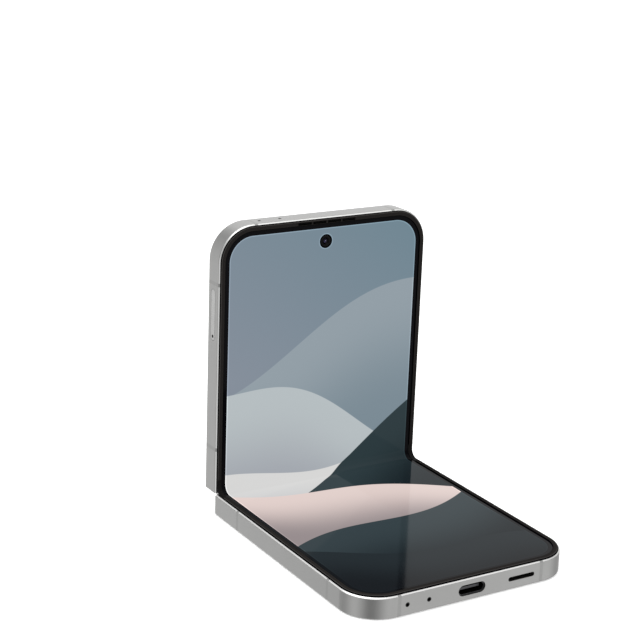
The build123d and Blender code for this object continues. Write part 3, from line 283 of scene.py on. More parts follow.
def turnedMetal(name):
    # fine rings about each camera's own centre
    look = ringFinish
    material, tree, shader = newMaterial(name, {"Metallic": 1.0})
    x, y, z = xyz(tree, objectPlace(tree))
    middle = (wideX + ultrawideX) / 2
    fromMiddle = calc(tree, "ABSOLUTE", calc(tree, "SUBTRACT", x, middle))
    across = calc(tree, "SUBTRACT", fromMiddle, (ultrawideX - wideX) / 2)
    radius = length(tree, joined(tree, across, calc(tree, "SUBTRACT", z, cameraZ)))
    lines = noise(tree, joined(tree, radius, y), look["lineScale"], detail=1)
    metal = mix(tree, lines, dimmed(look["colour"], 0.8), look["colour"])
    # painted shade on the ring's inner groove, inside the mouth radius
    mouth = calc(tree, "LESS_THAN", radius, look["mouth"])
    paint(tree, shader, mix(tree, mouth, metal, dimmed(look["colour"], 0.12)))
    roughen(tree, shader, lines, look["roughness"] * 0.7, look["roughness"] * 1.3)
    bump(tree, shader, lines, look["lineDepth"])
    return material


# plastics, boards and the rest of the inner pieces, each with its two colours
tones = {
    "breaks": ((0.29, 0.29, 0.285, 1), (0.33, 0.33, 0.325, 1)),
    "boardMask": ((0.004, 0.03, 0.022, 1), (0.008, 0.05, 0.035, 1)),
    "pads": (0.72, 0.5, 0.2, 1),
    "battery": ((0.012, 0.012, 0.013, 1), (0.04, 0.04, 0.042, 1)),
    "winding": ((0.3, 0.11, 0.05, 1), (0.83, 0.4, 0.22, 1)),
    "flex": ((0.05, 0.022, 0.006, 1), (0.3, 0.13, 0.03, 1)),
    "mesh": ((0.004, 0.004, 0.004, 1), (0.0005, 0.0005, 0.0005, 1)),
}
patterns = {
    "padScale": 380.0,
    "padShare": 0.72,  # how bright a brick has to be to become a pad
    "trackScale": 700.0,
    "windingPitch": 0.6 * mm,
    "cableTrackScale": 380.0,
    "meshPitch": 0.16 * mm,
}


def breakPlastic(name):
    # filled plastic, painted to go with the metal
    material, tree, shader = newMaterial(name, {"Metallic": 0.85})
    grain = noise(tree, objectPlace(tree), 6000, detail=3)
    paint(tree, shader, mix(tree, grain, *tones["breaks"]))
    roughen(tree, shader, grain, 0.4, 0.5)
    bump(tree, shader, grain, 0.004 * mm)
    return material


def moulded(name, colour, lighter, roughness, shine=0.5, scale=2500, depth=0.006 * mm):
    material, tree, shader = newMaterial(name, {"Specular IOR Level": shine})
    place = objectPlace(tree)
    grain = noise(tree, place, scale, detail=4, roughness=0.6)
    paint(tree, shader, mix(tree, noise(tree, place, 180, detail=3), colour, lighter))
    roughen(tree, shader, grain, roughness * 0.85, roughness * 1.15)
    bump(tree, shader, grain, depth)
    return material


def printedBoard(name):
    material, tree, shader = newMaterial(name, {"Roughness": 0.4})
    x, y, z = xyz(tree, objectPlace(tree))
    flat = joined(tree, x, calc(tree, "SUBTRACT", y, z))
    bricks = {"Vector": flat, "Color1": black, "Color2": (1, 1, 1, 1), "Mortar": black,
              "Scale": patterns["padScale"], "Mortar Size": 0.035, "Bias": -0.35}
    pads = addNode(tree, "TexBrick", bricks, offset=0.37).outputs["Color"]
    waves = {"Vector": flat, "Scale": patterns["trackScale"], "Distortion": 2.5}
    tracks = addNode(tree, "TexWave", waves).outputs["Fac"]
    mask = mix(tree, step(tree, tracks, 0.55, 0.75), *tones["boardMask"])
    bare = calc(tree, "GREATER_THAN", pads, patterns["padShare"])
    paint(tree, shader, mix(tree, bare, mask, tones["pads"]))
    feed(tree, shader.inputs["Metallic"], bare)
    bump(tree, shader, pads, 0.02 * mm)
    return material


def batteryWrap(name):
    material, tree, shader = newMaterial(name)
    crease = noise(tree, stretched(tree, objectPlace(tree), (1, 0.35, 0.35)), 260, detail=5)
    paint(tree, shader, mix(tree, crease, *tones["battery"]))
    roughen(tree, shader, crease, 0.3, 0.5)
    bump(tree, shader, crease, 0.05 * mm)
    return material


def copperWinding(name):
    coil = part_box("charging_coil")
    middle = (coil[0].y + coil[1].y) / 2
    material, tree, shader = newMaterial(name, {"Metallic": 1.0})
    place = stretched(tree, objectPlace(tree), (1, 1, 1), (0, -middle, 0))
    # a ring wave repeats every 0.314 / scale
    rounds = {"Vector": place, "Scale": 0.314 / patterns["windingPitch"]}
    turns = addNode(tree, "TexWave", rounds, wave_type="RINGS", rings_direction="Z").outputs["Fac"]
    paint(tree, shader, mix(tree, turns, *tones["winding"]))
    roughen(tree, shader, turns, 0.45, 0.22)
    bump(tree, shader, turns, 0.05 * mm)
    return material


def polyimide(name):
    material, tree, shader = newMaterial(name, {"Roughness": 0.35, "Specular IOR Level": 0.6})
    across = joined(tree, xyz(tree, objectPlace(tree))[0])
    waves = {"Vector": across, "Scale": patterns["cableTrackScale"]}
    tracks = addNode(tree, "TexWave", waves).outputs["Fac"]
    paint(tree, shader, mix(tree, step(tree, tracks, 0.4, 0.6), *tones["flex"]))
    bump(tree, shader, tracks, 0.01 * mm)
    return material


def wovenMesh(name):
    material, tree, shader = newMaterial(name, {"Roughness": 0.6, "Specular IOR Level": 0.05})
    x, y, z = xyz(tree, objectPlace(tree))
    turns = 2 * math.pi / patterns["meshPitch"]
    rows, columns = (calc(tree, "SINE", calc(tree, "MULTIPLY", value, turns))
                     for value in (x, calc(tree, "ADD", y, z)))
    weave = calc(tree, "MULTIPLY", rows, columns)
    paint(tree, shader, mix(tree, step(tree, weave, -0.3, 0.6), *tones["mesh"]))
    bump(tree, shader, weave, 0.03 * mm)
    return material


rearGlass = {
    "near": (0.36, 0.36, 0.355, 1),
    "far": (0.5, 0.5, 0.49, 1),
    "fade": 70 * mm,  # the tone changes over this much on each side of the middle
    "flake": (0.8, 0.8, 0.8, 1),
    "flakeShare": 0.12,
    "etchScale": 7000,
}


def satinGlass(name):
    look = rearGlass
    settings = {"Metallic": 0.35, "Coat Weight": 0.25, "Coat Roughness": 0.3}
    material, tree, shader = newMaterial(name, settings)
    place = objectPlace(tree)
    x, y = xyz(tree, place)[:2]
    fade = spread(tree, calc(tree, "ADD", x, y), -look["fade"], look["fade"])
    etched = noise(tree, place, look["etchScale"], detail=2)
    flake = spread(tree, noise(tree, place, 2600, detail=1), 0.62, 0.8)
    tone = mix(tree, fade, look["near"], look["far"])
    glitter = calc(tree, "MULTIPLY", flake, look["flakeShare"])
    paint(tree, shader, mix(tree, glitter, tone, look["flake"]))
    roughen(tree, shader, etched, 0.3, 0.4)
    bump(tree, shader, etched, 0.002 * mm)
    return material


# the lit screens and the rims round them, all in millimetres from a half's outline
halfCorner = 11
screenShape = {
    "border": 3.55,  # from the half's outline to the lit area
    "corner": 7.5,
    "blur": 0.06,
    "halo": 0.14,
    "haloTint": (1.5, 1.5, 1.5, 1),
    "cameraRing": 2.3,  # black printed round the front camera
}
duneShape = {
    "lean": 0.8,  # how much the sky's tone changes across the phone
    "skyFrom": -40,
    "skyTo": 100,
    "edge": 0.12,
}
# each dune: height, slope, swell, wave length, shift, depth of its shade,
# colour at its crest, colour below
innerSky = ((112, 134, 146), (142, 146, 158))
innerDunes = (
    (46, 0.30, 6.5, 17, 0.5, 46, (146, 158, 166), (122, 138, 148)),
    (21, -0.36, 5.5, 13, 2.1, 40, (182, 190, 193), (158, 162, 170)),
    (5, 0.10, 4.0, 14, 4.4, 30, (214, 214, 213), (192, 193, 196)),
    (-2, 0.55, 4.0, 17, 5.6, 40, (44, 58, 62), (17, 27, 31)),
    (-14, -0.42, 4.5, 13, 0.4, 34, (224, 206, 201), (148, 137, 138)),
    (-38, 0.30, 5.0, 14, 3.3, 36, (48, 60, 64), (16, 24, 27)),
    (-59, -0.26, 4.0, 11, 5.2, 26, (28, 36, 39), (8, 12, 14)),
)
coverSky = ((62, 84, 92), (120, 144, 154))
coverDunes = (
    (50, 0.42, 4.5, 12, 1.2, 34, (120, 146, 158), (66, 88, 98)),
    (37, -0.34, 4.0, 10, 3.0, 30, (70, 82, 84), (34, 42, 44)),
    (24, 0.3, 3.5, 11, 5.1, 26, (220, 203, 202), (172, 178, 188)),
    (12, -0.2, 3.0, 9, 0.4, 20, (190, 198, 204), (146, 160, 168)),
)


def dunePicture(tree, across, along, sky, dunes):
    # rolling dunes of soft colour, each with a lit crest and a shaded foot
    shape = duneShape
    turned = calc(tree, "ADD", along, calc(tree, "MULTIPLY", across, shape["lean"]))
    fade = spread(tree, turned, shape["skyFrom"], shape["skyTo"])
    picture = mix(tree, fade, screenColour(*sky[1]), screenColour(*sky[0]))
    for height, slope, swell, wave, shift, depth, crest, foot in dunes:
        swing = calc(tree, "SINE", calc(tree, "ADD", calc(tree, "DIVIDE", across, wave), shift))
        lift = calc(tree, "ADD", calc(tree, "MULTIPLY", swing, swell), height)
        line = calc(tree, "ADD", calc(tree, "MULTIPLY", across, slope), lift)
        below = calc(tree, "SUBTRACT", line, along)
        shade = mix(tree, spread(tree, below, 0, depth, kind="SMOOTHERSTEP"),
                    screenColour(*crest), screenColour(*foot))
        picture = mix(tree, step(tree, below, -shape["edge"], shape["edge"]), picture, shade)
    return picture


def roundedDistance(tree, across, along, halfAcross, halfAlong, corner):
    # how far a place lies outside a rectangle with round corners
    out = [calc(tree, "SUBTRACT", calc(tree, "ABSOLUTE", value), half - corner)
           for value, half in ((across, halfAcross), (along, halfAlong))]
    past = [calc(tree, "MAXIMUM", value, 0.0) for value in out]
    inner = calc(tree, "MINIMUM", calc(tree, "MAXIMUM", *out), 0.0)
    reach = calc(tree, "ADD", length(tree, joined(tree, *past)), inner)
    return calc(tree, "SUBTRACT", reach, corner)


def outsideHalf(tree, place, half, inset, corner):
    # millimetres across and along a half, and how far outside its outline less the inset
    x, y, z = xyz(tree, place)
    if half == "lower":
        away = calc(tree, "SUBTRACT", y, foldY)
    elif half == "upper":
        away = calc(tree, "SUBTRACT", z, foldZ)
    else:
        away = addNode(tree, "Attribute", attribute_name="along").outputs["Fac"]
    across, along = (calc(tree, "DIVIDE", value, mm) for value in (x, away))
    distance = roundedDistance(tree, across, along, halfWidth / mm - inset,
                               halfLength / mm - inset, corner)
    return across, along, distance


rimBandsWithPaintedSheen = (  # distance inside the half's outline, colour from there inwards: a painted highlight line, a band of painted sheen on the rim's flat top, then black at its inner edge
    (0.62, (0.05, 0.047, 0.045, 1)),
    (0.82, (0.017, 0.0155, 0.015, 1)),
    (1.9, (0.001, 0.001, 0.001, 1)),
)
rimBlur = 0.03
earSlotShade = {  # painted shade: dark recesses painted round the earpiece's slots
    "inside": 1.42,  # their middle, inside the outline
    "halfHeight": 0.36,
    "pitch": 5.1,
    "halfGap": 0.25,
    "reach": 9.95,  # to the ends of the row
}


def rimPolymer(name, half):
    material, tree, shader = newMaterial(name, {"Specular IOR Level": 0.0})
    place = objectPlace(tree)
    across, along, outside = outsideHalf(tree, place, half, 0, halfCorner)
    inside = calc(tree, "MULTIPLY", outside, -1.0)
    grain = noise(tree, place, 4000, detail=4, roughness=0.6)
    colour = mix(tree, grain, (0.0015, 0.0015, 0.002, 1), (0.003, 0.003, 0.0035, 1))
    # a painted highlight line and a band of painted sheen, then black at the inner edge
    for start, band in rimBandsWithPaintedSheen:
        colour = mix(tree, step(tree, inside, start - rimBlur, start + rimBlur), colour, band)
    if half == "upper":
        # painted shade in the rim where the earpiece's slots sink in
        shadeSlots = earSlotShade
        row = calc(tree, "COMPARE", inside, shadeSlots["inside"], shadeSlots["halfHeight"])
        within = calc(tree, "COMPARE", across, 0.0, shadeSlots["reach"])
        nearRib = calc(tree, "PINGPONG", across, shadeSlots["pitch"] / 2)
        bar = calc(tree, "GREATER_THAN", nearRib, shadeSlots["halfGap"])
        farEnd = calc(tree, "GREATER_THAN", along, 0.5 * halfLength / mm)
        dark = 1.0
        for mask in (row, within, bar, farEnd):
            dark = calc(tree, "MULTIPLY", dark, mask)
        colour = mix(tree, dark, colour, black)
    paint(tree, shader, colour)
    roughen(tree, shader, grain, 0.3, 0.45)
    bump(tree, shader, grain, 0.003 * mm)
    return material


def lightScreen(tree, shader, picture, distance):
    # the picture inside the lit area, a thin painted highlight line at its edge and black past it
    blur = screenShape["blur"]
    lit = mix(tree, step(tree, distance, -blur, blur), picture, black)
    # painted highlight: the picture brightened in a thin line along the lit area's edge
    halo = calc(tree, "LESS_THAN", calc(tree, "ABSOLUTE", distance), screenShape["halo"])
    brighter = mix(tree, 1.0, picture, screenShape["haloTint"], "MULTIPLY")
    feed(tree, shader.inputs["Emission Color"], mix(tree, halo, lit, brighter))
    shader.inputs["Emission Strength"].default_value = 1.0


def displayMaterial(name, half):
    settings = {"Base Color": (0.002, 0.002, 0.003, 1), "Specular IOR Level": 0.04}
    material, tree, shader = newMaterial(name, settings)
    place = objectPlace(tree)
    across, along, distance = outsideHalf(tree, place, half, screenShape["border"],
                                          screenShape["corner"])
    if half == "upper":
        camera = [(low + high) / 2 for low, high in zip(*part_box("selfie_camera"))]
        apart = calc(tree, "DIVIDE", fromAxis(tree, place, camera[0], camera[2]), mm)
        printed = calc(tree, "SUBTRACT", screenShape["cameraRing"], apart)
        distance = calc(tree, "MAXIMUM", distance, printed)
    picture = dunePicture(tree, across, along, innerSky, innerDunes)
    lightScreen(tree, shader, picture, distance)
    roughen(tree, shader, noise(tree, place, 900, detail=2), 0.07, 0.1)
    return material


coverShape = {  # millimetres from the middle and from the fold
    "left": -31.15,
    "right": 31.35,
    "bottom": 7.25,
    "top": 62.1,
    "rise": 5.5,  # the lit area is taller beside the cameras
    "riseFrom": 4.25,
    "riseTo": -5.55,
    "corner": 3.3,
}


def coverGlassMaterial(name):
    settings = {"Base Color": (0.003, 0.003, 0.0035, 1), "Specular IOR Level": 0.08}
    material, tree, shader = newMaterial(name, settings)
    place = objectPlace(tree)
    axes = xyz(tree, place)
    shape = coverShape
    across = calc(tree, "DIVIDE", axes["X"], mm)
    along = calc(tree, "DIVIDE", calc(tree, "SUBTRACT", axes["Z"], foldZ), mm)
    middleX = (shape["left"] + shape["right"]) / 2
    middleZ = (shape["bottom"] + shape["top"]) / 2
    beside = step(tree, across, shape["riseFrom"], shape["riseTo"])
    rise = calc(tree, "MULTIPLY", beside, shape["rise"])
    topPart = calc(tree, "GREATER_THAN", along, middleZ)
    lowered = calc(tree, "SUBTRACT", along, calc(tree, "MULTIPLY", rise, topPart))
    distance = roundedDistance(
        tree,
        calc(tree, "SUBTRACT", across, middleX),
        calc(tree, "SUBTRACT", lowered, middleZ),
        (shape["right"] - shape["left"]) / 2,
        (shape["top"] - shape["bottom"]) / 2,
        shape["corner"],
    )
    lightScreen(tree, shader, dunePicture(tree, across, along, coverSky, coverDunes), distance)
    roughen(tree, shader, noise(tree, place, 700, detail=2), 0.035, 0.05)
    return material


def clearGlass(name, tint):
    settings = {"Base Color": tint, "Transmission Weight": 1.0, "IOR": 1.1}
    material, tree, shader = newMaterial(name, settings)
    roughen(tree, shader, noise(tree, objectPlace(tree), 500, detail=2), 0.01, 0.03)
    return material


# the coating's colours from a lens's middle to its edge
lensBands = (
    (0.0, (0.001, 0.001, 0.002, 1)),
    (0.3, (0.003, 0.002, 0.012, 1)),
    (0.55, (0.002, 0.003, 0.012, 1)),
    (0.85, (0.005, 0.002, 0.01, 1)),
    (1.0, (0.001, 0.001, 0.002, 1)),
)
# painted glints in a lens, seen from behind: right, up and size in lens radii, colour
lensGlints = (
    (-0.08, 0.1, 0.16, (0.6, 0.56, 0.85, 1)),
    (0.3, -0.28, 0.2, (0.08, 0.06, 0.25, 1)),
    (0.42, -0.12, 0.12, (0.05, 0.04, 0.18, 1)),
)


def lensCoatingWithGlints(name, x, z, radius):
    # dark glass, with the coating's violet and blue in rings about the lens's centre, and painted
    # glints
    settings = {"Specular IOR Level": 0.12, "Coat Weight": 0.03, "Coat Roughness": 0.03}
    material, tree, shader = newMaterial(name, settings)
    place = stretched(tree, objectPlace(tree), (1, 0, 1), (-x, 0, -z))
    colour = ramp(tree, calc(tree, "DIVIDE", length(tree, place), radius), lensBands)
    for right, up, size, glint in lensGlints:
        near = fromAxis(tree, place, -radius * right, radius * up)
        colour = mix(tree, step(tree, near, radius * size, radius * size / 4), colour, glint)
    paint(tree, shader, colour)
    roughen(tree, shader, noise(tree, place, 2500, detail=2), 0.03, 0.06)
    return material


flashFinish = {
    "yellow": ((0.6, 0.58, 0.32, 1), (0.7, 0.69, 0.45, 1)),
    "rim": (0.82, 0.82, 0.76, 1),
    "rimFrom": 1.5 * mm,  # the whiter rim starts at this radius
    "rimBlur": 0.15 * mm,
}


def phosphor(name):
    # pale yellow inside a whiter rim
    look = flashFinish
    material, tree, shader = newMaterial(name, {"Subsurface Weight": 0.2})
    place = objectPlace(tree)
    speckle = noise(tree, place, 5000, detail=3)
    out = fromAxis(tree, place, flashX, cameraZ)
    rim = step(tree, out, look["rimFrom"] - look["rimBlur"], look["rimFrom"])
    paint(tree, shader, mix(tree, rim, mix(tree, speckle, *look["yellow"]), look["rim"]))
    roughen(tree, shader, speckle, 0.4, 0.6)
    bump(tree, shader, speckle, 0.01 * mm)
    return material


# colour, roughness and, for a brushed metal, how the grain is stretched
silver = (0.44, 0.44, 0.435, 1)
satinMetals = {
    "hingeMetal": (silver, 0.28, (0.05, 1, 1)),
    "keyMetal": (silver, 0.3),
    "steel": ((0.56, 0.56, 0.57, 1), 0.25, (0.2, 1, 1)),
    "springSteel": ((0.5, 0.5, 0.52, 1), 0.2),
    "gearSteel": ((0.6, 0.58, 0.54, 1), 0.3),
    "blackSteel": ((0.08, 0.08, 0.085, 1), 0.35),
    "canMetal": ((0.62, 0.61, 0.58, 1), 0.38),
    "gold": ((0.85, 0.62, 0.3, 1), 0.22),
}
# two colours, roughness, shine, and the grain's scale and depth
blackPlastics = {
    "softStrip": ((0.006, 0.006, 0.006, 1), (0.012, 0.011, 0.011, 1), 0.5, 0.02, 3000,
                  0.004 * mm),
    "moduleBlack": ((0.001, 0.001, 0.0015, 1), (0.003, 0.003, 0.0035, 1), 0.45, 0.08),
    "boxBlack": ((0.02, 0.02, 0.021, 1), (0.035, 0.035, 0.036, 1), 0.55, 0.5, 1500),
}
finishes = {
    "lowerMetal": frameMetal("lowerMetal", 2, metalTop, 1, soundHoles),
    "upperMetal": frameMetal("upperMetal", 1, metalFace, -1),
    "ringMetal": turnedMetal("ringMetal"),
    "breakPlastic": breakPlastic("breakPlastic"),
    "lowerRim": rimPolymer("lowerRim", "lower"),
    "upperRim": rimPolymer("upperRim", "upper"),
    "board": printedBoard("board"),
    "battery": batteryWrap("battery"),
    "copper": copperWinding("copper"),
    "flex": polyimide("flex"),
    "mesh": wovenMesh("mesh"),
    "satinGlass": satinGlass("satinGlass"),
    "coverGlass": coverGlassMaterial("coverGlass"),
    "screenLower": displayMaterial("screenLower", "lower"),
    "screenUpper": displayMaterial("screenUpper", "upper"),
    "screenBend": displayMaterial("screenBend", "bend"),
    "lensGlass": clearGlass("lensGlass", (0.98, 0.98, 1, 1)),
    "phosphor": phosphor("phosphor"),
    "flashCover": phosphor("flashCover"),
}
for name, look in satinMetals.items():
    finishes[name] = satinMetal(name, *look)
for name, look in blackPlastics.items():
    finishes[name] = moulded(name, *look)

# which finish each node wears
wears = {
    "lowerMetal": ["lower_frame"],
    "upperMetal": ["upper_frame"],
    "hingeMetal": ["hinge_cover", "hinge_end_caps"],
    "keyMetal": ["volume_key", "side_key", "sim_tray"],
    "steel": ["hinge_shafts", "lower_hinge_fasteners", "upper_hinge_fasteners"],
    "springSteel": ["torque_springs"],
    "gearSteel": ["lower_sync_arms", "upper_sync_arms", "lower_idlers", "upper_idlers",
                  "torque_cams", "hinge_brackets"],
    "blackSteel": ["lower_wing_plate", "upper_wing_plate", "lower_hinge_arms",
                   "upper_hinge_arms", "usb_port"],
    "canMetal": ["shield_cans", "haptic_motor", "sim_reader"],
    "ringMetal": ["camera_rings"],
    "breakPlastic": ["lower_antenna_breaks", "upper_antenna_breaks"],
    "lowerRim": ["lower_trim"],
    "upperRim": ["upper_trim"],
    "moduleBlack": ["wide_camera", "ultrawide_camera", "wide_lens_barrel", "selfie_camera"],
    "boxBlack": ["loudspeaker", "earpiece", "lower_microphones", "upper_microphones"],
    "board": ["main_board", "sub_board", "key_switches"],
    "battery": ["lower_battery", "upper_battery"],
    "copper": ["charging_coil"],
    "flex": ["lower_flex", "upper_flex"],
    "mesh": ["speaker_mesh", "earpiece_mesh"],
    "satinGlass": ["lower_rear_glass"],
    "coverGlass": ["cover_glass", "cover_display"],
    "screenLower": ["main_display_lower"],
    "screenUpper": ["main_display_upper"],
    "lensGlass": ["camera_glasses", "flash_lens"],
    "phosphor": ["flash_led"],
}
for finish, nodes in wears.items():
    for node in nodes:
        cad[node].material_slots[0].material = finishes[finish]
print("finishes on", sum(len(nodes) for nodes in wears.values()), "nodes")


# the pieces modelled here
def selectOnly(piece):
    bpy.ops.object.select_all(action="DESELECT")
    piece.select_set(True)
    bpy.context.view_layer.objects.active = piece


def editWhole(piece):
    # apply its transform, then open it with everything selected
    selectOnly(piece)
    bpy.ops.object.transform_apply(location=True, rotation=True, scale=True)
    bpy.ops.object.mode_set(mode="EDIT")
    bpy.ops.mesh.select_all(action="SELECT")


def tidyFaces():
    bpy.ops.mesh.select_all(action="SELECT")
    bpy.ops.mesh.remove_doubles(threshold=0.001 * mm)
    bpy.ops.mesh.normals_make_consistent(inside=False)


def pull(x, y, z):
    bpy.ops.mesh.extrude_region_move(TRANSFORM_OT_translate={"value": (x, y, z)})


bend = {
    "radius": 2.9 * mm,  # of the display's face, at rest
    "turn": 45,  # degrees from a half to the middle of the fold
    "steps": 16,
    "smoothBelow": 30,
    "depth": 0.5 * mm,  # thinner than the flat display, to pass the sync arms when shut
    "blendStart": (37.85 * mm, 7.38 * mm),  # y and z, where the lower half's turn starts
    "blendEnd": (39.82 * mm, 8.60 * mm),
    "slack": 4.5 * mm,  # display between a half's flat part and the middle of the fold
    "stripEnd": 4.2 * mm,  # the rim stops this far from the fold
    "stripHeight": 0.3 * mm,
    "stripGap": 0.02 * mm,  # between a strip and the metal under it
    "stripSides": (33.9 * mm, 35.45 * mm),
    "cableStart": (37.0 * mm, 5.3 * mm),
    "cableEnd": (40.5 * mm, 5.1 * mm),
}
bendCentre = (displayFace - bend["radius"], displayTop + bend["radius"])


def acrossFold(y, z):
    return mirrorSum - z, mirrorSum - y


def blendAcross(piece, lower):
    # bakes a piece's transform into its mesh, the same for a lower piece and an upper one
    if lower:
        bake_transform(piece)
    else:
        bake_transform(piece)


def bendPiece(name, sides, top, depth, start, lower):
    # a bar across the phone, pulled along the flat and spun up to the middle of the fold
    left, right = sides
    middle = ((left + right) / 2, start, top - depth / 2)
    bpy.ops.mesh.primitive_plane_add(size=1, location=middle, rotation=(math.pi / 2, 0, 0))
    piece = bpy.context.object
    piece.name = name
    piece.scale = (right - left, depth, 1)
    editWhole(piece)
    pull(0, bendCentre[0] - start, 0)
    bpy.ops.mesh.spin(steps=bend["steps"], angle=-math.radians(bend["turn"]),
                      center=(0, *bendCentre), axis=(1, 0, 0))
    tidyFaces()
    bpy.ops.object.mode_set(mode="OBJECT")
    if not lower:
        toUpper = ((1, 0, 0, 0), (0, 0, -1, mirrorSum), (0, -1, 0, mirrorSum), (0, 0, 0, 1))
        piece.data.transform(Matrix(toUpper))
        bpy.ops.object.mode_set(mode="EDIT")
        tidyFaces()
        bpy.ops.object.mode_set(mode="OBJECT")
    bpy.ops.object.shade_smooth_by_angle(angle=math.radians(bend["smoothBelow"]))
    return piece


def markAlong(piece, lower, start):
    # how far each point lies from the fold, measured along the display
    whole = bendCentre[0] - start + bend["radius"] * math.radians(bend["turn"])
    mark = piece.data.attributes.new("along", "FLOAT", "POINT")
    for vertex, value in zip(piece.data.vertices, mark.data):
        y, z = (vertex.co.y, vertex.co.z) if lower else acrossFold(vertex.co.y, vertex.co.z)
        turn = max(0.0, math.atan2(y - bendCentre[0], bendCentre[1] - z))
        gone = min(y, bendCentre[0]) - start + bend["radius"] * turn
        value.value = (gone / whole - 1) * bend["slack"] * (1 if lower else -1)


def cableHalf(name, lower):
    # the cable's own shape, cut at the middle of the fold
    cable = cad["fold_flex"].copy()
    cable.data = cad["fold_flex"].data.copy()
    cable.name = name
    cable.parent = None
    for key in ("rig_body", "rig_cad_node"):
        if key in cable:
            del cable[key]
    cable.hide_render = cable.hide_viewport = False
    bpy.context.scene.collection.objects.link(cable)
    selectOnly(cable)
    bpy.ops.object.mode_set(mode="EDIT")
    tidyFaces()
    bpy.ops.mesh.select_all(action="SELECT")
    bpy.ops.mesh.bisect(plane_co=(0, *bendCentre), plane_no=(0, 1, 1), use_fill=True,
                        clear_outer=lower, clear_inner=not lower)
    bpy.ops.object.mode_set(mode="OBJECT")
    cable.data.materials.clear()
    cable.data.materials.append(finishes["flex"])
    return cable


def addBend():
    displaySides = (lowerPanel[0].x, lowerPanel[1].x)
    inner, outer = bend["stripSides"]
    stripTop = metalTop + bend["stripHeight"]
    stripDepth = bend["stripHeight"] - bend["stripGap"]
    for lower in (True, False):
        half = "Lower" if lower else "Upper"
        panel = bendPiece("displayBend" + half, displaySides, displayTop, bend["depth"],
                          bendStart, lower)
        markAlong(panel, lower, bendStart)
        panel.data.materials.append(finishes["screenBend"])
        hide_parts("main_display_fold")
        blendAcross(panel, lower)
        for side, sides in (("Left", (-outer, -inner)), ("Right", (inner, outer))):
            strip = bendPiece("edgeStrip" + side + half, sides, stripTop, stripDepth,
                              foldY - bend["stripEnd"], lower)
            strip.data.materials.append(finishes["softStrip"])
            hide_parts("fold_edge_strips")
            blendAcross(strip, lower)
        cable = cableHalf("foldCable" + half, lower)
        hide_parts("fold_flex")
        blendAcross(cable, lower)
    print("display bend, edge strips and cable halves made")


turning = {
    "steps": 64,
    "smallSteps": 48,  # for the front camera's lens
    "domeSteps": 8,
    "smallDomeSteps": 6,
    "smoothBelow": 35,
}


def turnedPiece(name, outline, x, z, steps=turning["steps"]):
    # an outline of (radius, y) points, drawn out point by point and spun about the lens's axis
    start = (x + outline[0][0], outline[0][1], z)
    bpy.ops.mesh.primitive_plane_add(size=0.2 * mm, location=start)
    piece = bpy.context.object
    piece.name = name
    editWhole(piece)
    bpy.ops.mesh.merge(type="CENTER")
    for (radius, y), (nextRadius, nextY) in zip(outline, outline[1:]):
        pull(nextRadius - radius, nextY - y, 0)
    bpy.ops.mesh.select_all(action="SELECT")
    bpy.ops.mesh.spin(steps=steps, angle=2 * math.pi, center=(x, 0, z), axis=(0, 1, 0))
    tidyFaces()
    bpy.ops.object.mode_set(mode="OBJECT")
    bpy.ops.object.shade_smooth_by_angle(angle=math.radians(turning["smoothBelow"]))
    return piece


def domeOutline(radius, edgeY, crownY, backY, steps=turning["domeSteps"]):
    # from the middle of the crown out to the edge and back to the middle
    points = []
    for index in range(steps + 1):
        turn = math.radians(90) * index / steps
        points.append((radius * math.sin(turn), edgeY + (crownY - edgeY) * math.cos(turn)))
    return points + [(radius, backY), (0, backY)]


lens = {
    "wide": {"x": wideX, "body": "lens_barrel", "dome": 1.9 * mm, "edge": 47.1 * mm,
             "crown": 47.62 * mm, "back": 46.95 * mm, "mouth": 1.75 * mm, "floor": 46.93 * mm,
             "slope": 1.0, "ridges": 5},
    "ultrawide": {"x": ultrawideX, "body": "upper_half", "dome": 2.35 * mm, "edge": 47.42 * mm,
                  "crown": 48.18 * mm, "back": 47.3 * mm, "mouth": 2.26 * mm,
                  "floor": 47.28 * mm, "slope": 1.19, "ridges": 4},
    "selfieRadius": 0.82 * mm,
    # edge, crown and back of the front camera's lens, behind that camera's front
    "selfieDepths": (0.42 * mm, 0.2 * mm, 0.54 * mm),
}
ridge = {
    "first": 0.12 * mm,  # from the lens's edge to the first ridge
    "pitch": 0.18 * mm,
    "depth": 0.13 * mm,
    "rise": 0.04 * mm,  # from a ridge's tip to the notch past it
    "sunk": 0.02 * mm,  # how far a notch goes into the wall
    "lip": 0.05 * mm,  # past the last notch
    "wall": 0.3 * mm,  # back of the baffle
    "drop": 0.02 * mm,
}


def addLenses():
    for name in ("wide", "ultrawide"):
        facts = lens[name]
        outline = domeOutline(facts["dome"], facts["edge"], facts["crown"], facts["back"])
        dome = turnedPiece(name + "FrontLens", outline, facts["x"], cameraZ)
        coating = lensCoatingWithGlints(name + "CoatingWithGlints", facts["x"], cameraZ, facts["dome"])
        dome.data.materials.append(coating)
        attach(dome, facts["body"])
        ridges = []
        for index in range(facts["ridges"]):
            y = facts["edge"] + ridge["first"] + index * ridge["pitch"]
            wall = facts["mouth"] + (y - facts["floor"]) * facts["slope"]
            ridges += [(wall - ridge["depth"], y), (wall + ridge["sunk"], y + ridge["rise"])]
        lip = (ridges[-1][0] + ridge["lip"], ridges[-1][1])
        back = (ridges[0][0] + ridge["wall"], ridges[0][1] - ridge["drop"])
        baffle = turnedPiece(name + "Baffle", ridges + [lip, back, ridges[0]], facts["x"], cameraZ)
        baffle.data.materials.append(finishes["moduleBlack"])
        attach(baffle, facts["body"])
    print("rear lenses made")


def addSelfieLens():
    # the small lens in the mouth of the camera behind the display's hole
    corner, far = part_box("selfie_camera")
    depths = [corner.y + depth for depth in lens["selfieDepths"]]
    outline = domeOutline(lens["selfieRadius"], *depths, turning["smallDomeSteps"])
    x, z = (corner.x + far.x) / 2, (corner.z + far.z) / 2
    dome = turnedPiece("selfieLens", outline, x, z, turning["smallSteps"])
    dome.data.materials.append(lensCoatingWithGlints("selfieCoatingWithGlints", x, z, lens["selfieRadius"]))
    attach(dome, "upper_half")
    print("front camera's lens made")


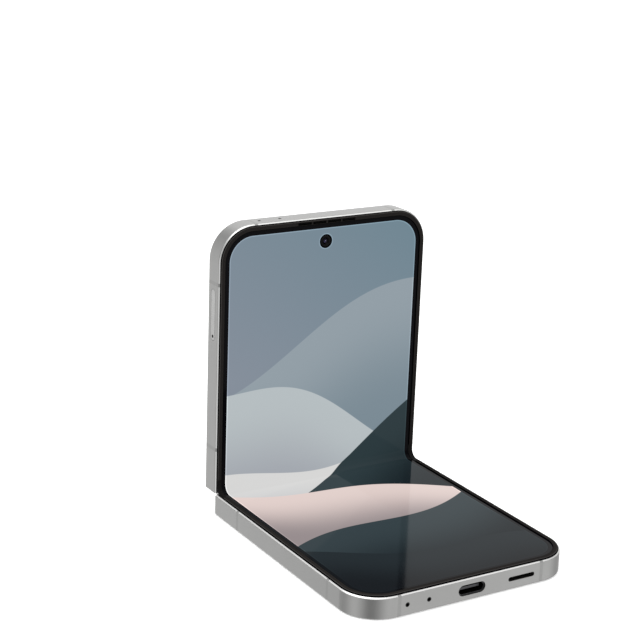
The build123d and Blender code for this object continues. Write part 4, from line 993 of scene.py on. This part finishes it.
flash = {
    "radius": 1.8 * mm,
    "rimWidth": 0.2 * mm,
    "sunk": 0.02 * mm,  # behind the glass's face
    "middle": 0.03 * mm,  # how much lower the middle and the crests lie than the rim
    "crest": 0.02 * mm,
    "grooves": 5,
    "grooveDepth": 0.07 * mm,
    "grooveWidth": 0.03 * mm,
    "chamfer": 0.06 * mm,
}


def addFlash():
    # a lens with ring grooves inside a plain rim
    face = backFace - flash["sunk"]
    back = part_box("flash_lens")[0].y
    outer = flash["radius"]
    inner = outer - flash["rimWidth"]
    outline = [(0, face - flash["middle"])]
    for index in range(flash["grooves"]):
        radius = inner * (index + 1) / flash["grooves"]
        outline += [(radius - flash["grooveWidth"], face - flash["grooveDepth"]),
                    (radius, face - flash["crest"])]
    outline += [(inner, face), (outer - flash["chamfer"], face), (outer, face - flash["chamfer"]),
                (outer, back), (0, back)]
    piece = turnedPiece("flashCover", outline, flashX, cameraZ)
    piece.data.materials.append(finishes["flashCover"])
    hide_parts("flash_lens")
    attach(piece, "upper_half")
    print("flash made")


contacts = {
    "count": 12,
    "pitch": 0.5 * mm,
    "width": 0.28 * mm,
    "thickness": 0.04 * mm,
    "sunk": 0.01 * mm,  # into the tongue
    "taper": (0.7, 0.96, 1),  # size of a pad's face, of its foot
    "front": -39.35 * mm,
    "back": -36.6 * mm,
    "tongue": (2.85 * mm, 3.55 * mm),
}


def addContacts():
    # gold pads on both faces of the socket's tongue
    pads = []
    size = contacts["back"] - contacts["front"]
    middleY = contacts["front"] + size / 2
    for height, up in ((contacts["tongue"][1], 1), (contacts["tongue"][0], -1)):
        lift = up * contacts["thickness"]
        for index in range(contacts["count"]):
            x = (index - (contacts["count"] - 1) / 2) * contacts["pitch"]
            foot = (x, middleY, height - up * contacts["sunk"])
            bpy.ops.mesh.primitive_plane_add(size=1, location=foot)
            pad = bpy.context.object
            pad.scale = (contacts["width"], size, 1)
            editWhole(pad)
            pull(0, 0, lift)
            bpy.ops.transform.resize(value=contacts["taper"],
                                     center_override=(x, middleY, height + lift))
            tidyFaces()
            bpy.ops.object.mode_set(mode="OBJECT")
            pads.append(pad)
    bpy.ops.object.select_all(action="DESELECT")
    for pad in pads:
        pad.select_set(True)
    bpy.context.view_layer.objects.active = pads[0]
    bpy.ops.object.join()
    pads[0].name = "usbContacts"
    pads[0].data.materials.append(finishes["gold"])
    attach(pads[0], "lower_half")
    print("socket contacts made")


addBend()
addLenses()
addSelfieLens()
addFlash()
addContacts()

viewpoint = {
    "azimuth": -31.61,
    "elevation": 16.89,
    "roll": 2.1,
    "lens": 95.73,
    "sensor": 36,
    "aim": (-13.28 * mm, 21.56 * mm, 64.18 * mm),
    "distance": 491.7 * mm,
}


def addCamera():
    azimuth = math.radians(viewpoint["azimuth"])
    elevation = math.radians(viewpoint["elevation"])
    back = Vector((math.sin(azimuth) * math.cos(elevation),
                   -math.cos(azimuth) * math.cos(elevation),
                   math.sin(elevation)))
    bpy.ops.object.camera_add(location=Vector(viewpoint["aim"]) + back * viewpoint["distance"])
    camera = bpy.context.object
    roll = Quaternion((0, 0, 1), math.radians(viewpoint["roll"]))
    camera.rotation_euler = ((-back).to_track_quat("-Z", "Y") @ roll).to_euler()
    camera.data.lens = viewpoint["lens"]
    camera.data.sensor_width = viewpoint["sensor"]
    bpy.context.scene.camera = camera


studio = {
    "floor": 8.0,
    "floorDrop": 0.02 * mm,  # just under the phone
    "floorWhite": 0.88,
    "floorMottle": 0.01,
    "floorGlow": 0.25,
    "skyPower": 1.7,  # one very wide lamp overhead
    "skyAngle": 75,
    "skyTilt": (-8, -10, 0),
    "zenith": 1.15,
    "backdrop": 1.0,
    "horizon": (-0.1, 0.05),  # heights where the ground's bands give way to the room's
    "ceiling": (0.5, 0.75),
    # light and dark bands by compass angle from +X, below and above the horizon
    "ground": ((-180, 1.3), (-160, 1.0), (-135, 0.3), (-115, 0.5), (-80, 1.3), (-55, 1.1),
               (-45, 1.4), (10, 0.5), (45, 1.2), (115, 1.5), (130, 0.5), (150, 0.6),
               (180, 1.3)),
    "room": ((-180, 0.6), (-90, 0.45), (0, 0.7), (40, 1.2), (80, 1.2), (98, 0.3), (112, 0.4),
             (120, 1.2), (180, 0.6)),
}


def bands(tree, share, stops):
    # a ramp's colours stop at 1, so it holds half of each level
    grey = [(compass / 360 + 0.5, (level / 2, level / 2, level / 2, 1))
            for compass, level in stops]
    return calc(tree, "MULTIPLY", ramp(tree, share, grey), 2.0)


def addFloor():
    bpy.ops.mesh.primitive_plane_add(size=studio["floor"], location=(0, 0, -studio["floorDrop"]))
    floor = bpy.context.object
    floor.name = "floor"
    settings = {"Roughness": 0.9, "Specular IOR Level": 0.0, "Emission Color": (1, 1, 1, 1),
                "Emission Strength": studio["floorGlow"]}
    material, tree, shader = newMaterial("floorPaint", settings)
    shade = noise(tree, objectPlace(tree), 4, detail=2)
    darker, lighter = ((studio["floorWhite"] + change,) * 3 + (1,)
                       for change in (-studio["floorMottle"], studio["floorMottle"]))
    paint(tree, shader, mix(tree, shade, darker, lighter))
    floor.data.materials.append(material)
    floor.visible_glossy = False  # the metal mirrors the room's bands instead


def addRoom():
    world = bpy.data.worlds.new("studio")
    bpy.context.scene.world = world
    world.use_nodes = True
    tree = world.node_tree
    x, y, height = xyz(tree, addNode(tree, "TexCoord").outputs["Generated"])
    share = spread(tree, calc(tree, "ARCTAN2", y, x), -math.pi, math.pi)
    low, high = (bands(tree, share, studio[part]) for part in ("ground", "room"))
    around = mixValue(tree, step(tree, height, *studio["horizon"]), low, high)
    glow = mixValue(tree, step(tree, height, *studio["ceiling"]), around, studio["zenith"])
    seen = addNode(tree, "LightPath").outputs["Is Camera Ray"]
    background = tree.nodes["Background"].inputs
    background["Color"].default_value = (1, 1, 1, 1)
    feed(tree, background["Strength"], mixValue(tree, seen, glow, studio["backdrop"]))


def addSky():
    bpy.ops.object.light_add(type="SUN", location=(0, 0, 1))
    sky = bpy.context.object
    sky.name = "skyLamp"
    sky.data.energy = studio["skyPower"]
    sky.data.angle = math.radians(studio["skyAngle"])
    sky.rotation_euler = [math.radians(tilt) for tilt in studio["skyTilt"]]
    bpy.context.scene.view_settings.view_transform = "Standard"


addCamera()
addFloor()
addRoom()
addSky()
print("camera and studio set")
